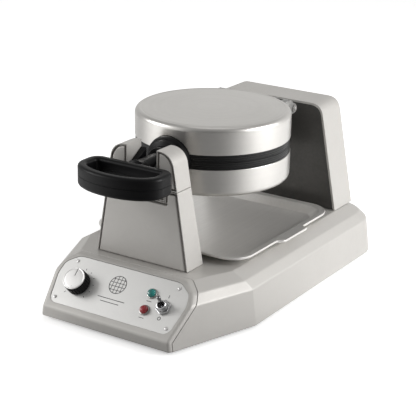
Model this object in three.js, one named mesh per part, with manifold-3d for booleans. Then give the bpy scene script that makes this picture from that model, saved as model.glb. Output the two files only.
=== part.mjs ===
// Rotary waffle maker: a two-part round drum with waffle grids turns over between a front post
// and a rear tower, on a wide base with a sloping control panel and a drip tray.
// Units are millimetres. +Z is up, the control panel faces -Y, and the origin is on the floor
// under the middle of the base.
import * as THREE from "three";
import { ConvexGeometry } from "three/addons/geometries/ConvexGeometry.js";
import { mergeVertices } from "three/addons/utils/BufferGeometryUtils.js";
import Module from "manifold-3d";

const wasm = await Module();
wasm.setup();

// ---------------------------------------------------------------- fits and walls
const gap = 0.3; // between pieces that touch
const seam = 0.8; // open joint that can be seen between two castings
const castWall = 3; // die-cast covers
const sheetWall = 1.5; // pressed sheet
const shellWall = 2; // spun drum shells
const through = 20; // how far a cutter runs past what it cuts
const far = 300; // beyond the whole object

// ---------------------------------------------------------------- base
const baseWidth = 264;
const baseHeight = 65.7; // from the base's lower edge to the deck
const footHeight = 4; // what the feet show under the base
const lipHeight = 13; // upright front edge under the control panel
const panelRun = 55; // how far back the control panel slopes
const flareLength = 121; // front edge to full width
const rearCorner = 40;
const rearLedge = 32; // deck behind the rear tower
const deckInset = 28.8; // side of the deck to the full half-width
const fasciaDepth = 5; // thickness of the casting that carries the control panel

// ---------------------------------------------------------------- drum
const drumRadius = 96.2;
const drumHalfHeight = 43.4;
const drumEdgeRadius = 6.5;
const creaseWidth = 1.2; // of each side of the fine ring pressed into the drum's ends
const creaseDepth = 0.5;
const bandHalfHeight = 9.1; // the black band round the parting line
const bandInset = 0.8;
const bandDepth = 3.4; // of the band's visible edge
const bandTuck = 3; // how far the band's ring runs up inside the shell
const ringWidth = 9.7;
const partingGap = 0.5;
const plateThickness = 14.6;
const plateRim = 2.65; // least metal outside a waffle
const cavityRib = 5.2; // metal between two waffles
const cavityDepth = 11;
const cavityDraft = 2;
const pegPitch = 13;
const pegHeight = 8;
const pegBase = 7.4;
const pegTip = 5;
const elementRadius = 3.5;
const elementInset = 28.5; // heating ring, in from the grid plate's edge

// ---------------------------------------------------------------- axle and hinge
const neckRadius = 12.8; // journal of the handle that turns in the yoke
const flangeRadius = 28;
const flangeSeat = 5.8; // how far the flanges are let into the drum
const axleRadius = 12;
const axleBore = 8.5;
const hingeBehindDrum = 12.1;
const hingeAboveAxis = 25;
const hingePinRadius = 2.6;
const knuckleRadius = 6.5;
const armOuter = 43; // lower hinge arms, from the middle to their outer sides
const armWidth = 9;
const earWidth = 9;
const earGap = 1; // between an arm and the ear beside it
const strapWidth = 10; // bracket's strap under the axle
const clipThickness = 1.2;

// ---------------------------------------------------------------- handle
const handleHalfWidth = 57;
const handleFromFront = 3;
const handleBack = 62.6; // rear side of the ring, from the front edge of the base
const handleCurve = 33; // depth of the curved front
const handleBar = 11.5;
const handleHeight = 26;
const handleCorner = 15;
const handleRound = 4; // rounding of the bar's edges
const neckRoot = 15.4; // neck's radius where it leaves the ring

// ---------------------------------------------------------------- front post
const postFromFront = 74.8;
const postDepth = 28.5;
const postFootDepth = 33.2; // its back leans, so it is deeper at the deck
const postWall = 4.6;
const coverThickness = 4; // plates let into the front of the post and the yoke
const coverRim = 1; // of the casting round each plate
const coverReveal = 2.4; // open joint between rim and plate
const postFootWidth = 129.8;
const yokeBelowAxis = 17.9; // joint between post and yoke
const yokeFootWidth = 99;
const prongAboveAxis = 27.3; // tops of the prongs
const prongCornerDrop = 14.3; // how far down their sides start to curve in
const prongShoulderWidth = 88;
const prongTop = 5; // flat on top of each prong
const linerWall = 7.4; // bearing block in the notch
const linerAboveAxis = 18.5; // at its back; its top slopes down to the front
const linerTopSlope = THREE.MathUtils.degToRad(31.5);
const linerInset = 0.6; // block in from the yoke's faces
const cradleWall = 11; // of the yoke round the bottom of its notch

// ---------------------------------------------------------------- rear tower
const towerDepth = 47.2;
const towerFootInset = 0.2; // in from the side of the deck
const towerAboveAxis = 27.1;
const towerCornerDrop = 15;
const towerShoulderWidth = 158;
const towerTopWidth = 121.6;
const faceRecess = 1.2;
const bearingRadius = 15.5;
const bearingFlange = 21;
const bearingFlangeDepth = 2.6;
const bearingLength = 12; // behind its bracket
const bracketThickness = 8;
const bracketWidth = 120;
const bracketFoot = 28;
const bracketFootThickness = 5.7;
const wireHoleRadius = 8;
const stopRadius = 19;
const stopPinRadius = 2;
const stopPinSeat = 5; // how deep the pin sits in the bracket
const collarWall = 4.5;
const collarWidth = 6;
const stopAngle = 8; // where the collar's stop starts, past each end of the half turn

// ---------------------------------------------------------------- drip tray
const trayOverhang = 6.3; // past each side of the deck
const trayToPost = 9.5;
const trayToTower = 17.8;
const trayCorner = 29;
const trayRimHeight = 10;
const traySheet = 1;
const trayFlange = 7;
const trayBead = 2.6;
const beadWidth = 1.6;
const traySlope = 9;
const trayCornerLoss = 6; // how much tighter the corners are at the floor
const tabWidth = 63;
const tabReach = 8;
const tabFromTray = 87.5;
const tabSheet = 1.4;

// ---------------------------------------------------------------- clearances round the drum
const drumToPost = 26.2;
const drumToTower = 42.9;
const underDrum = 16; // deck to the drum when it stands on edge

const drumFromFront = postFromFront + postDepth + drumToPost + drumRadius;
const towerFromFront = drumFromFront + drumRadius + drumToTower;
const baseLength = towerFromFront + towerDepth + rearLedge;
const axisAboveDeck = drumRadius + underDrum;
const front = -baseLength / 2;
const rear = baseLength / 2;
const deckZ = footHeight + baseHeight;
const axisZ = deckZ + axisAboveDeck;
const drumY = front + drumFromFront;
const deckWidth = baseWidth - 2 * deckInset;

const ringInner = drumRadius - ringWidth;
const plateRadius = ringInner - gap;
const cavityRadius = (plateRadius - plateRim - cavityRib / Math.SQRT2) / (1 + Math.SQRT2);
const cavityOffset = cavityRadius + cavityRib / 2;
const flangeInner = drumRadius - flangeSeat;
const flangeBack = drumRadius + 5;
const hingeY = drumRadius + hingeBehindDrum; // in the drum's own frame

const yokeFromDeck = axisAboveDeck - yokeBelowAxis;
const prongHeight = axisAboveDeck + prongAboveAxis;
const prongShoulder = prongHeight - prongCornerDrop;
const notchRadius = neckRadius + gap + linerWall + gap;
const cradleHalf = notchRadius + cradleWall;
const cradleFromDeck = axisAboveDeck - notchRadius - cradleWall;

const towerFootWidth = deckWidth - 2 * towerFootInset;
const towerHeight = axisAboveDeck + towerAboveAxis;
const towerShoulder = towerHeight - towerCornerDrop;
const collarFront =
  front + towerFromFront + faceRecess + castWall + gap + bearingFlangeDepth + bracketThickness +
  bearingLength + gap;

const trayFromFront = postFromFront + postFootDepth + trayToPost;
const trayLength = towerFromFront - trayToTower - trayFromFront;
const trayWidth = deckWidth + 2 * trayOverhang;

// ---------------------------------------------------------------- control panel
// Distances up the slope are from the lip; the plate keeps its margins when the slope changes.
const lipZ = footHeight + lipHeight;
const panelRise = baseHeight - lipHeight;
const panelSlope = Math.atan2(panelRise, panelRun);
const panelLength = Math.hypot(panelRun, panelRise);
const plateBottomMargin = 8.3;
const plateTopMargin = 3.7;
const plateRecess = 1.8;
const plateSheet = 1;
const plateTop = -0.5; // face of the plate below the face of the fascia
const panelMiddle = (plateBottomMargin + panelLength - plateTopMargin) / 2;
const shaftRadius = 3;
const shaftHole = 4.2;
const knobX = -56;
const knobUp = panelMiddle - 2.1;
const knobRadius = 15;
const knobHeight = 15;
const knobLift = 1; // knob off the plate
const knobRidges = 26;
const ridgeDepth = 0.9;
const knobCapHeight = 1.8;
const capInset = 1.1;
const indexWidth = 0.8;
const indexStart = 3;
const indexDepth = 0.4;
const lampX = 42.5;
const readyLampUp = panelMiddle + 10.3;
const powerLampUp = panelMiddle - 11;
const lampTube = 4.1;
const lampDepth = 20;
const lensRadius = 5.4;
const lensEdge = 1;
const lensBulge = 0.6;
const lensStem = 3;
const bezelRim = 1;
const bezelHeight = 1.4;
const toggleX = 64.8;
const toggleUp = panelMiddle - 2.2;
const toggleBush = 5.9;
const toggleThroat = 4.2;
const toggleNutAcross = 16;
const toggleNutHeight = 3.2;
const toggleLength = 17;
const toggleTilt = THREE.MathUtils.degToRad(14);
const togglePivotUp = 4.5;
const toggleBushTop = togglePivotUp + 4.5;
const rivetShank = 0.9;
const rivetHead = 2;
const rivetLength = 4;
const rivetTopX = 72.5;
const rivetTopUp = panelLength - 10.8;
const rivetBottomX = 79.3;
const rivetBottomUp = plateBottomMargin + 7.1;

// ---------------------------------------------------------------- feet, cord and inside
const footRadius = 10;
const footEdge = 34; // foot's centre in from the base's lower edge
const frontFootY = 88;
const rearFootY = baseLength - 46;
const screwRadius = 2;
const screwHeadRadius = 4;
const screwLength = 14; // above the base plate
const bossRadius = 5;
const plateUnder = footHeight + 1.2; // underside of the base plate
const basePlateTop = plateUnder + sheetWall;
const ventWidth = 8;
const ventLength = 80;
const ventPitch = 22;
const cordBore = 4.2;
const cordX = 60;
const cordZ = 26;
const bushingRadius = 7.5;
const bushingFlange = 9.4;
const bushingSeat = 2.8; // spot face in the rear wall, in from the base's full length
const bushingLength = 12;
const terminalFromRear = 38;

// ================================================================ helpers
const group = new THREE.Group();
group.name = "waffle_maker";

const solid = (geometry) => {
  geometry.deleteAttribute("normal");
  geometry.deleteAttribute("uv");
  const merged = mergeVertices(geometry, 1e-4);
  return new wasm.Manifold(
    new wasm.Mesh({
      numProp: 3,
      vertProperties: new Float32Array(merged.attributes.position.array),
      triVerts: new Uint32Array(merged.index.array),
    }),
  );
};

const geometryOf = (body) => {
  const mesh = body.getMesh();
  return new THREE.BufferGeometry()
    .setAttribute("position", new THREE.BufferAttribute(mesh.vertProperties.slice(), 3))
    .setIndex(new THREE.BufferAttribute(mesh.triVerts.slice(), 1))
    .toNonIndexed();
};

const joined = (bodies) => bodies.reduce((all, next) => all.add(next));
const cutBy = (body, cutters) => cutters.reduce((left, next) => left.subtract(next), body);

function addPart(name, body, finish, parent = group) {
  const geometry = geometryOf(body);
  geometry.computeVertexNormals();
  const mesh = new THREE.Mesh(geometry, new THREE.MeshStandardMaterial(finish));
  mesh.name = name;
  parent.add(mesh);
  return mesh;
}

const box = (x0, x1, y0, y1, z0, z1) => {
  const geometry = new THREE.BoxGeometry(x1 - x0, y1 - y0, z1 - z0);
  geometry.translate((x0 + x1) / 2, (y0 + y1) / 2, (z0 + z1) / 2);
  return solid(geometry);
};

// Facets round a circle of that radius.
const sidesFor = (r) => {
  const steps = [
    [1.5, 6],
    [3.2, 10],
    [5, 12],
    [10, 16],
    [22, 20],
    [60, 28],
  ];
  return steps.find(([limit]) => r < limit)?.[1] ?? 36;
};

// Cylinders along Z, Y and X, and a cone along Z where the top radius differs.
const rodZ = (r, z0, z1, x = 0, y = 0, rTop = r) => {
  const geometry = new THREE.CylinderGeometry(rTop, r, z1 - z0, sidesFor(r));
  geometry.rotateX(Math.PI / 2);
  geometry.translate(x, y, (z0 + z1) / 2);
  return solid(geometry);
};
const rodY = (r, y0, y1, x = 0, z = 0) => {
  const geometry = new THREE.CylinderGeometry(r, r, y1 - y0, sidesFor(r));
  geometry.translate(x, (y0 + y1) / 2, z);
  return solid(geometry);
};
const rodX = (r, x0, x1, y = 0, z = 0) => {
  const geometry = new THREE.CylinderGeometry(r, r, x1 - x0, sidesFor(r));
  geometry.rotateZ(Math.PI / 2);
  geometry.translate((x0 + x1) / 2, y, z);
  return solid(geometry);
};

const shapeOf = (points) => new THREE.Shape(points.map(([a, b]) => new THREE.Vector2(a, b)));

// A flat outline pushed along Z (outline in X, Y), along Y (X, Z) or along X (Y, Z).
const prismZ = (points, z0, z1) => {
  const geometry = new THREE.ExtrudeGeometry(shapeOf(points), {
    depth: z1 - z0,
    bevelEnabled: false,
  });
  geometry.translate(0, 0, z0);
  return solid(geometry);
};
const prismY = (points, y0, y1) => {
  const geometry = new THREE.ExtrudeGeometry(shapeOf(points), {
    depth: y1 - y0,
    bevelEnabled: false,
  });
  geometry.rotateX(Math.PI / 2);
  geometry.translate(0, y1, 0);
  return solid(geometry);
};
const prismX = (points, x0, x1) => {
  const geometry = new THREE.ExtrudeGeometry(shapeOf(points), {
    depth: x1 - x0,
    bevelEnabled: false,
  });
  geometry.rotateX(Math.PI / 2);
  geometry.rotateZ(Math.PI / 2);
  geometry.translate(x0, 0, 0);
  return solid(geometry);
};

// A profile of [radius, height] points turned round Z, or round Y with height along Y.
const turned = (profile, aboutY = false) => {
  const sides = sidesFor(Math.max(...profile.map(([r]) => r)));
  const make = (points) => {
    const geometry = new THREE.LatheGeometry(
      points.map(([r, h]) => new THREE.Vector2(r, h)),
      sides,
    );
    if (!aboutY) geometry.rotateX(Math.PI / 2);
    return solid(geometry);
  };
  const body = make(profile);
  return body.volume() > 0 ? body : make([...profile].reverse());
};

const arc = (cx, cy, r, from, to, steps) =>
  Array.from({ length: steps + 1 }, (_, i) => {
    const angle = THREE.MathUtils.degToRad(from + ((to - from) * i) / steps);
    return [cx + r * Math.cos(angle), cy + r * Math.sin(angle)];
  });

const curve = (start, pull, end, steps) =>
  new THREE.QuadraticBezierCurve(
    new THREE.Vector2(...start),
    new THREE.Vector2(...pull),
    new THREE.Vector2(...end),
  )
    .getPoints(steps)
    .map((p) => [p.x, p.y]);

const mirrored = (points) => points.map(([a, b]) => [-a, b]).reverse();

const hull = (points) => solid(new ConvexGeometry(points.map((p) => new THREE.Vector3(...p))));

// The drum is the same either way up: its lower half is the upper half turned over.
const turnedOver = (body) => {
  const geometry = geometryOf(body);
  geometry.rotateY(Math.PI);
  return solid(geometry);
};

// ================================================================ finishes
const finishes = {
  paint: { color: 0xd2cfc9, metalness: 0.35, roughness: 0.42 },
  darkPaint: { color: 0x55534f, metalness: 0.35, roughness: 0.4 },
  aluminium: { color: 0xc9c7c2, metalness: 0.95, roughness: 0.3 },
  castPlate: { color: 0x3b3a38, metalness: 0.6, roughness: 0.5 },
  black: { color: 0x17171a, metalness: 0, roughness: 0.45 },
  rubber: { color: 0x1c1c1c, metalness: 0, roughness: 0.85 },
  steel: { color: 0xbdbbb6, metalness: 0.95, roughness: 0.25 },
  panel: { color: 0xe2e1dd, metalness: 0.6, roughness: 0.35 },
  chrome: { color: 0xe8e8e8, metalness: 1, roughness: 0.08 },
  brass: { color: 0xb08d4a, metalness: 0.9, roughness: 0.35 },
  silverCap: { color: 0xededea, metalness: 0.5, roughness: 0.3 },
  green: { color: 0x11897f, metalness: 0, roughness: 0.15 },
  red: { color: 0xa3141f, metalness: 0, roughness: 0.15 },
  innerPlastic: { color: 0x8d8a80, metalness: 0, roughness: 0.6 },
};

// ================================================================ base
// The base's outline at five heights: half-width at the front, and how far the sides, the flare
// and the rear lie inside the widest outline. The casting is the hull of all of them.
const baseLevels = [
  { z: 0, nose: 91.3, inset: 0, kink: 0, rear: 0 },
  { z: lipHeight, nose: 89.4, inset: 1.2, kink: 1, rear: 1 },
  { z: baseHeight - 19.8, nose: 96.5, inset: 4.4, kink: 3, rear: 5 },
  { z: baseHeight - 9.5, nose: 91, inset: 13.3, kink: 7, rear: 13 },
  { z: baseHeight, nose: 77, inset: deckInset, kink: 9, rear: 30 },
];
const cornerLoss = 0.4; // of the rear corners' radius, for each millimetre of rear inset
const leastCorner = 4;

const panelFront = (z) => Math.max(0, ((z - lipHeight) * panelRun) / panelRise);

function levelOutline(level, wall) {
  const half = baseWidth / 2 - level.inset - wall;
  const back = rear - level.rear - wall;
  const radius = Math.max(rearCorner - level.rear * cornerLoss - wall, leastCorner);
  const noseBack = wall / Math.sin(panelSlope);
  const right = [
    [level.nose - wall, front + panelFront(level.z) + noseBack],
    [half, front + flareLength - level.kink + wall / 2],
    ...arc(half - radius, back - radius, radius, 0, 90, 4),
  ];
  return [...right, ...mirrored(right)];
}

function baseHull(wall) {
  const points = [];
  for (const level of baseLevels) {
    const atEnd = level.z === 0 || level.z === baseHeight;
    const z = footHeight + level.z - (atEnd ? wall : 0);
    for (const [x, y] of levelOutline(level, wall)) points.push([x, y, z]);
  }
  return hull(points);
}

// Everything further back than the fascia, whose two faces are depth thick.
function behindFascia(depth) {
  const start = front + depth;
  const turn = lipZ + depth * Math.tan(panelSlope) - depth / Math.cos(panelSlope);
  const top = turn + far * Math.tan(panelSlope);
  const back = start + far;
  return prismX(
    [
      [start, -through],
      [back + far, -through],
      [back + far, top],
      [back, top],
      [start, turn],
    ],
    -baseWidth,
    baseWidth,
  );
}

// The panel's own frame: X across, Y up the slope from the lip, Z out of the panel.
const panel = new THREE.Group();
panel.position.set(0, front, lipZ);
panel.rotation.x = panelSlope;
group.add(panel);
panel.updateMatrixWorld(true);
const onPanel = (body) => solid(geometryOf(body).applyMatrix4(panel.matrixWorld));

const lowestHalfWidth = (y) => {
  const nose = baseLevels[0].nose;
  return nose + (baseWidth / 2 - nose) * Math.min(1, y / flareLength);
};
const footPlaces = [frontFootY, rearFootY].flatMap((y) =>
  [-1, 1].map((side) => ({
    place: (y === frontFootY ? "front" : "rear") + (side < 0 ? "_left" : "_right"),
    x: side * (lowestHalfWidth(y) - footEdge),
    y: front + y,
  })),
);

const rivetPlaces = [
  ["top_left", -rivetTopX, rivetTopUp],
  ["top_right", rivetTopX, rivetTopUp],
  ["bottom_left", -rivetBottomX, rivetBottomUp],
  ["bottom_right", rivetBottomX, rivetBottomUp],
];

// The control panel plate's outline, grown on every side.
function panelOutline(grow) {
  const right = [
    [80 + grow * 0.6, plateBottomMargin - grow],
    [85.5 + grow, plateBottomMargin + 5.7 - grow * 0.4],
    [91 + grow, panelLength - 30.2],
    [88 + grow, panelLength - 14.7 + grow * 0.5],
    [72 + grow * 0.5, panelLength - plateTopMargin + grow],
  ];
  return [...right, ...mirrored(right)];
}

// Cutters for what is mounted on the panel, in the panel's own frame.
const panelHoles = () => [
  rodZ(shaftHole, -through, through, knobX, knobUp),
  rodZ(lampTube + gap, -through, through, lampX, readyLampUp),
  rodZ(lampTube + gap, -through, through, lampX, powerLampUp),
  rodZ(toggleBush + gap, -through, through, toggleX, toggleUp),
  ...rivetPlaces.map(([, x, up]) => rodZ(rivetShank + gap, -through, through, x, up)),
];

function makeBase() {
  const outside = baseHull(0);
  const insideCovers = baseHull(castWall - 1);
  const bosses = footPlaces.map(({ x, y }) =>
    rodZ(bossRadius, basePlateTop + gap, deckZ, x, y).intersect(insideCovers),
  );
  const screwHoles = footPlaces.map(({ x, y }) =>
    rodZ(screwRadius + gap, plateUnder, basePlateTop + screwLength + 2, x, y),
  );
  const wireHole = rodZ(
    wireHoleRadius + 1,
    deckZ - through,
    deckZ + through,
    0,
    front + towerFromFront + towerDepth / 2,
  );
  const cordHole = rodY(bushingRadius + gap, rear - through, rear + through, cordX, cordZ);
  const spotFace = rodY(bushingFlange + gap, rear - bushingSeat, rear + through, cordX, cordZ);
  const shell = outside.subtract(baseHull(castWall)).intersect(behindFascia(fasciaDepth + seam));
  addPart(
    "base_housing",
    cutBy(joined([shell, ...bosses]), [...screwHoles, wireHole, cordHole, spotFace]),
    finishes.paint,
  );

  const recess = onPanel(prismZ(panelOutline(gap), -plateRecess, through));
  addPart(
    "front_fascia",
    cutBy(outside.subtract(behindFascia(fasciaDepth)), [recess, ...panelHoles().map(onPanel)]),
    finishes.paint,
  );

  const plateOutline = levelOutline(baseLevels[0], castWall + gap * 2).map(([x, y]) => [
    x,
    Math.max(y, front + fasciaDepth + gap * 2),
  ]);
  const vents = [-2, -1, 0, 1, 2].map((i) =>
    box(
      i * ventPitch - ventWidth / 2,
      i * ventPitch + ventWidth / 2,
      -ventLength / 2,
      ventLength / 2,
      0,
      through,
    ),
  );
  const plateHoles = footPlaces.map(({ x, y }) => rodZ(screwRadius + gap, 0, through, x, y));
  addPart(
    "base_plate",
    cutBy(prismZ(plateOutline, plateUnder, basePlateTop), [...vents, ...plateHoles]),
    finishes.steel,
  );
  for (const foot of footPlaces) makeFoot(foot);
}

function makeFoot({ place, x, y }) {
  const screwSeat = 2.8;
  const headHole = screwHeadRadius + 0.4;
  const bore = screwRadius + gap;
  const top = plateUnder - gap;
  const foot = turned([
    [bore, screwSeat],
    [headHole, screwSeat],
    [headHole, 0],
    [footRadius - 1, 0],
    [footRadius, 1],
    [footRadius - 1.2, top],
    [bore, top],
    [bore, screwSeat],
  ]);
  addPart("foot_" + place, foot, finishes.rubber).position.set(x, y, 0);
  const headTop = screwSeat - gap;
  const head = rodZ(screwHeadRadius, headTop - 1.5, headTop);
  const shank = rodZ(screwRadius, headTop - 0.1, basePlateTop + screwLength);
  addPart("foot_screw_" + place, joined([head, shank]), finishes.steel).position.set(x, y, 0);
}

// ================================================================ control panel
function makeControlPanel() {
  const blank = prismZ(panelOutline(0), plateTop - plateSheet, plateTop);
  addPart("control_panel_plate", cutBy(blank, panelHoles()), finishes.panel, panel);

  for (const [place, x, up] of rivetPlaces) {
    const rivet = turned([
      [0, -rivetLength],
      [rivetShank, -rivetLength],
      [rivetShank, plateTop + gap],
      [rivetHead, plateTop + gap],
      [rivetHead - 0.6, plateTop + 1.1],
      [0, plateTop + 1.3],
    ]);
    addPart("panel_rivet_" + place, rivet, finishes.steel, panel).position.set(x, up, 0);
  }

  makeKnob();
  makeLamp("ready_lamp", lampX, readyLampUp, finishes.green);
  makeLamp("power_lamp", lampX, powerLampUp, finishes.red);
  makeToggle();
}

function makeKnob() {
  const skirtTop = knobHeight - knobCapHeight - gap;
  const shaftTop = skirtTop - 3 - gap;
  const rim = Array.from({ length: knobRidges * 2 }, (_, i) => {
    const radius = knobRadius - (i % 2 ? ridgeDepth : 0);
    const angle = (i * Math.PI) / knobRidges;
    return [radius * Math.cos(angle), radius * Math.sin(angle)];
  });
  const skirt = prismZ(rim, plateTop + knobLift, skirtTop).subtract(
    rodZ(shaftRadius + gap, plateTop, shaftTop + gap),
  );
  addPart("temperature_knob", skirt, finishes.black, panel).position.set(knobX, knobUp, 0);

  const capRadius = knobRadius - capInset;
  const indexLine = box(
    -indexWidth / 2,
    indexWidth / 2,
    indexStart,
    capRadius + 1,
    knobHeight - indexDepth,
    knobHeight + 1,
  );
  const cap = rodZ(capRadius, skirtTop + gap, knobHeight).subtract(indexLine);
  addPart("knob_cap", cap, finishes.silverCap, panel).position.set(knobX, knobUp, 0);

  const shaftEnd = -14;
  const shaft = rodZ(shaftRadius, shaftEnd, shaftTop);
  addPart("thermostat_shaft", shaft, finishes.brass, panel).position.set(knobX, knobUp, 0);

  const neckOuter = 6;
  const bodyTop = -11;
  const neck = rodZ(neckOuter, bodyTop - 1, -fasciaDepth - gap);
  const can = box(-15, 15, -12, 12, bodyTop - 19, bodyTop);
  const bore = rodZ(shaftRadius + gap, shaftEnd - 2, 0);
  const thermostat = joined([neck, can]).subtract(bore);
  addPart("thermostat_body", thermostat, finishes.innerPlastic, panel).position.set(
    knobX,
    knobUp,
    0,
  );
}

function makeLamp(name, x, up, colour) {
  const seat = plateTop + gap;
  const bore = lensStem + gap;
  const rim = lensRadius + bezelRim;
  const bezel = turned([
    [bore, -lampDepth],
    [lampTube, -lampDepth],
    [lampTube, seat],
    [rim, seat],
    [rim, seat + bezelHeight - 0.6],
    [rim - 0.6, seat + bezelHeight],
    [bore, seat + bezelHeight],
    [bore, -lampDepth],
  ]);
  addPart(name + "_bezel", bezel, finishes.black, panel).position.set(x, up, 0);
  const lensBase = seat + bezelHeight + gap;
  const dome = lensBase + lensEdge;
  const lens = turned([
    [0, gap * 2 - lampDepth / 2],
    [lensStem, gap * 2 - lampDepth / 2],
    [lensStem, lensBase],
    [lensRadius, lensBase],
    [lensRadius, dome],
    ...arc(0, 0, lensRadius, 25, 75, 2).map(([r, h]) => [r, dome + h * lensBulge]),
    [0, dome + lensRadius * lensBulge],
  ]);
  addPart(name + "_lens", lens, colour, panel).position.set(x, up, 0);
}

function makeToggle() {
  const floor = -fasciaDepth - gap;
  const can = box(-7, 7, -12.5, 12.5, floor - 22.7, floor);
  const bush = turned([
    [0, floor - 1],
    [toggleBush, floor - 1],
    [toggleBush, toggleBushTop - 0.6],
    [toggleBush - 0.6, toggleBushTop],
    [toggleThroat, toggleBushTop],
    [toggleThroat, -2],
    [0, -2],
  ]);
  addPart("power_switch_body", joined([can, bush]), finishes.chrome, panel).position.set(
    toggleX,
    toggleUp,
    0,
  );

  const seat = plateTop + gap;
  const corners = arc(0, 0, toggleNutAcross / Math.sqrt(3), 30, 330, 5);
  const nut = prismZ(corners, seat, seat + toggleNutHeight).subtract(
    rodZ(toggleBush + gap, -through, through),
  );
  addPart("toggle_nut", nut, finishes.chrome, panel).position.set(toggleX, toggleUp, 0);

  const lever = turned([
    [0, -2.6],
    [2.2, -1.6],
    [2.6, 0],
    [2, 1.6],
    [1.5, 2.6],
    [2.1, toggleLength - 4],
    [2.4, toggleLength - 1.4],
    [1.6, toggleLength - 0.3],
    [0, toggleLength],
  ]);
  const mesh = addPart("toggle_lever", lever, finishes.chrome, panel);
  mesh.position.set(toggleX, toggleUp, togglePivotUp);
  mesh.rotation.x = -toggleTilt;
}

// ================================================================ front post and yoke
const between = (a, b, share) => a + (b - a) * share;
const postHalfAt = (z) => {
  const joint = yokeFootWidth / 2;
  if (z <= yokeFromDeck) return between(postFootWidth / 2, joint, z / yokeFromDeck);
  const share = (z - yokeFromDeck) / (prongShoulder - yokeFromDeck);
  return between(joint, prongShoulderWidth / 2, share);
};

// Outlines in X and height above the deck; wall moves them inwards. The yoke's cradle hangs
// into a dip in the post's top edge.
const postOutline = (wall, low) => {
  const high = yokeFromDeck - seam / 2 - wall;
  const dip = cradleFromDeck - seam / 2 - wall;
  const dipHalf = cradleHalf + seam + wall;
  const right = [
    [postHalfAt(Math.max(low, 0)) - wall, deckZ + low],
    [postHalfAt(high) - wall, deckZ + high],
    [dipHalf, deckZ + high],
    [dipHalf, deckZ + dip],
  ];
  return [...right, ...mirrored(right)];
};

const yokeOutline = (wall) => {
  const low = yokeFromDeck + seam / 2 + wall;
  const top = prongHeight - wall;
  const notch = notchRadius + wall;
  const shoulder = prongShoulderWidth / 2 - wall;
  const flatEnd = notch + Math.max(prongTop - wall, gap * 2);
  const right = [
    [postHalfAt(low) - wall, deckZ + low],
    ...curve(
      [shoulder, deckZ + prongShoulder - wall * 0.5],
      [shoulder - 4.5, deckZ + top - 1],
      [flatEnd, deckZ + top],
      6,
    ),
    [notch, deckZ + top],
  ];
  const cradle = [
    [cradleHalf - wall, deckZ + cradleFromDeck + seam / 2 + wall],
    [cradleHalf - wall, deckZ + low],
  ];
  return [
    ...cradle,
    ...right,
    ...arc(0, axisZ, notch, 0, -180, 16),
    ...mirrored(right),
    ...mirrored(cradle),
  ];
};

// Everything in front of the post's back, which leans up to the yoke; wall moves it forwards.
const beforePostBack = (wall) => {
  const y0 = front + postFromFront;
  const bottom = deckZ - through;
  const top = deckZ + prongHeight + through;
  const profile = [
    [y0 - through, bottom],
    [y0 + postFootDepth - wall, bottom],
    [y0 + postFootDepth - wall, deckZ],
    [y0 + postDepth - wall, deckZ + yokeFromDeck],
    [y0 + postDepth - wall, top],
    [y0 - through, top],
  ];
  return prismX(profile, -far, far);
};

function makePost() {
  const y0 = front + postFromFront;
  const y1 = y0 + postDepth;
  const coverBack = y0 + coverThickness;
  const coverInset = coverRim + coverReveal;
  const below = -5;
  const storeys = [
    ["post", postOutline, gap, below],
    ["yoke", yokeOutline, 0, 0],
  ];
  for (const [name, outline, foot, hollowFoot] of storeys) {
    const casting = prismY(outline(0, foot), y0, far).intersect(beforePostBack(0));
    const hollow = prismY(outline(postWall, hollowFoot), y0 - through, far);
    const seat = prismY(outline(coverRim, hollowFoot), y0 - through, coverBack + gap);
    addPart(
      name + "_rear_shell",
      casting.subtract(hollow.intersect(beforePostBack(castWall))).subtract(seat),
      finishes.paint,
    );
    addPart(
      name + "_front_shell",
      prismY(outline(coverInset, foot), y0, coverBack),
      finishes.paint,
    );
  }

  const linerOuter = notchRadius - gap;
  const linerInner = linerOuter - linerWall;
  const linerTop = axisZ + linerAboveAxis;
  const liner = [
    [linerOuter, linerTop],
    [linerInner, linerTop],
    ...arc(0, axisZ, linerInner, 0, -180, 20),
    [-linerInner, linerTop],
    [-linerOuter, linerTop],
    ...arc(0, axisZ, linerOuter, -180, 0, 20),
  ];
  const linerFront = y0 + linerInset;
  const linerBack = y1 - linerInset;
  const drop = (linerBack - linerFront) * Math.tan(linerTopSlope);
  const above = prismX(
    [
      [linerFront, linerTop - drop],
      [linerBack, linerTop],
      [linerBack, linerTop + through],
      [linerFront, linerTop + through],
    ],
    -far,
    far,
  );
  addPart("yoke_liner", prismY(liner, linerFront, linerBack).subtract(above), finishes.black);
}

// ================================================================ rear tower
const towerOutline = (wall, low) => {
  const slope = (towerFootWidth - towerShoulderWidth) / 2 / towerShoulder;
  const halfAt = (z) => towerFootWidth / 2 - slope * z - wall;
  const top = towerHeight - wall;
  const right = [
    [halfAt(low), deckZ + low],
    ...curve(
      [halfAt(towerShoulder), deckZ + towerShoulder],
      [halfAt(top), deckZ + top],
      [towerTopWidth / 2 - wall * 0.4, deckZ + top],
      7,
    ),
  ];
  return [...right, ...mirrored(right)];
};

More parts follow.
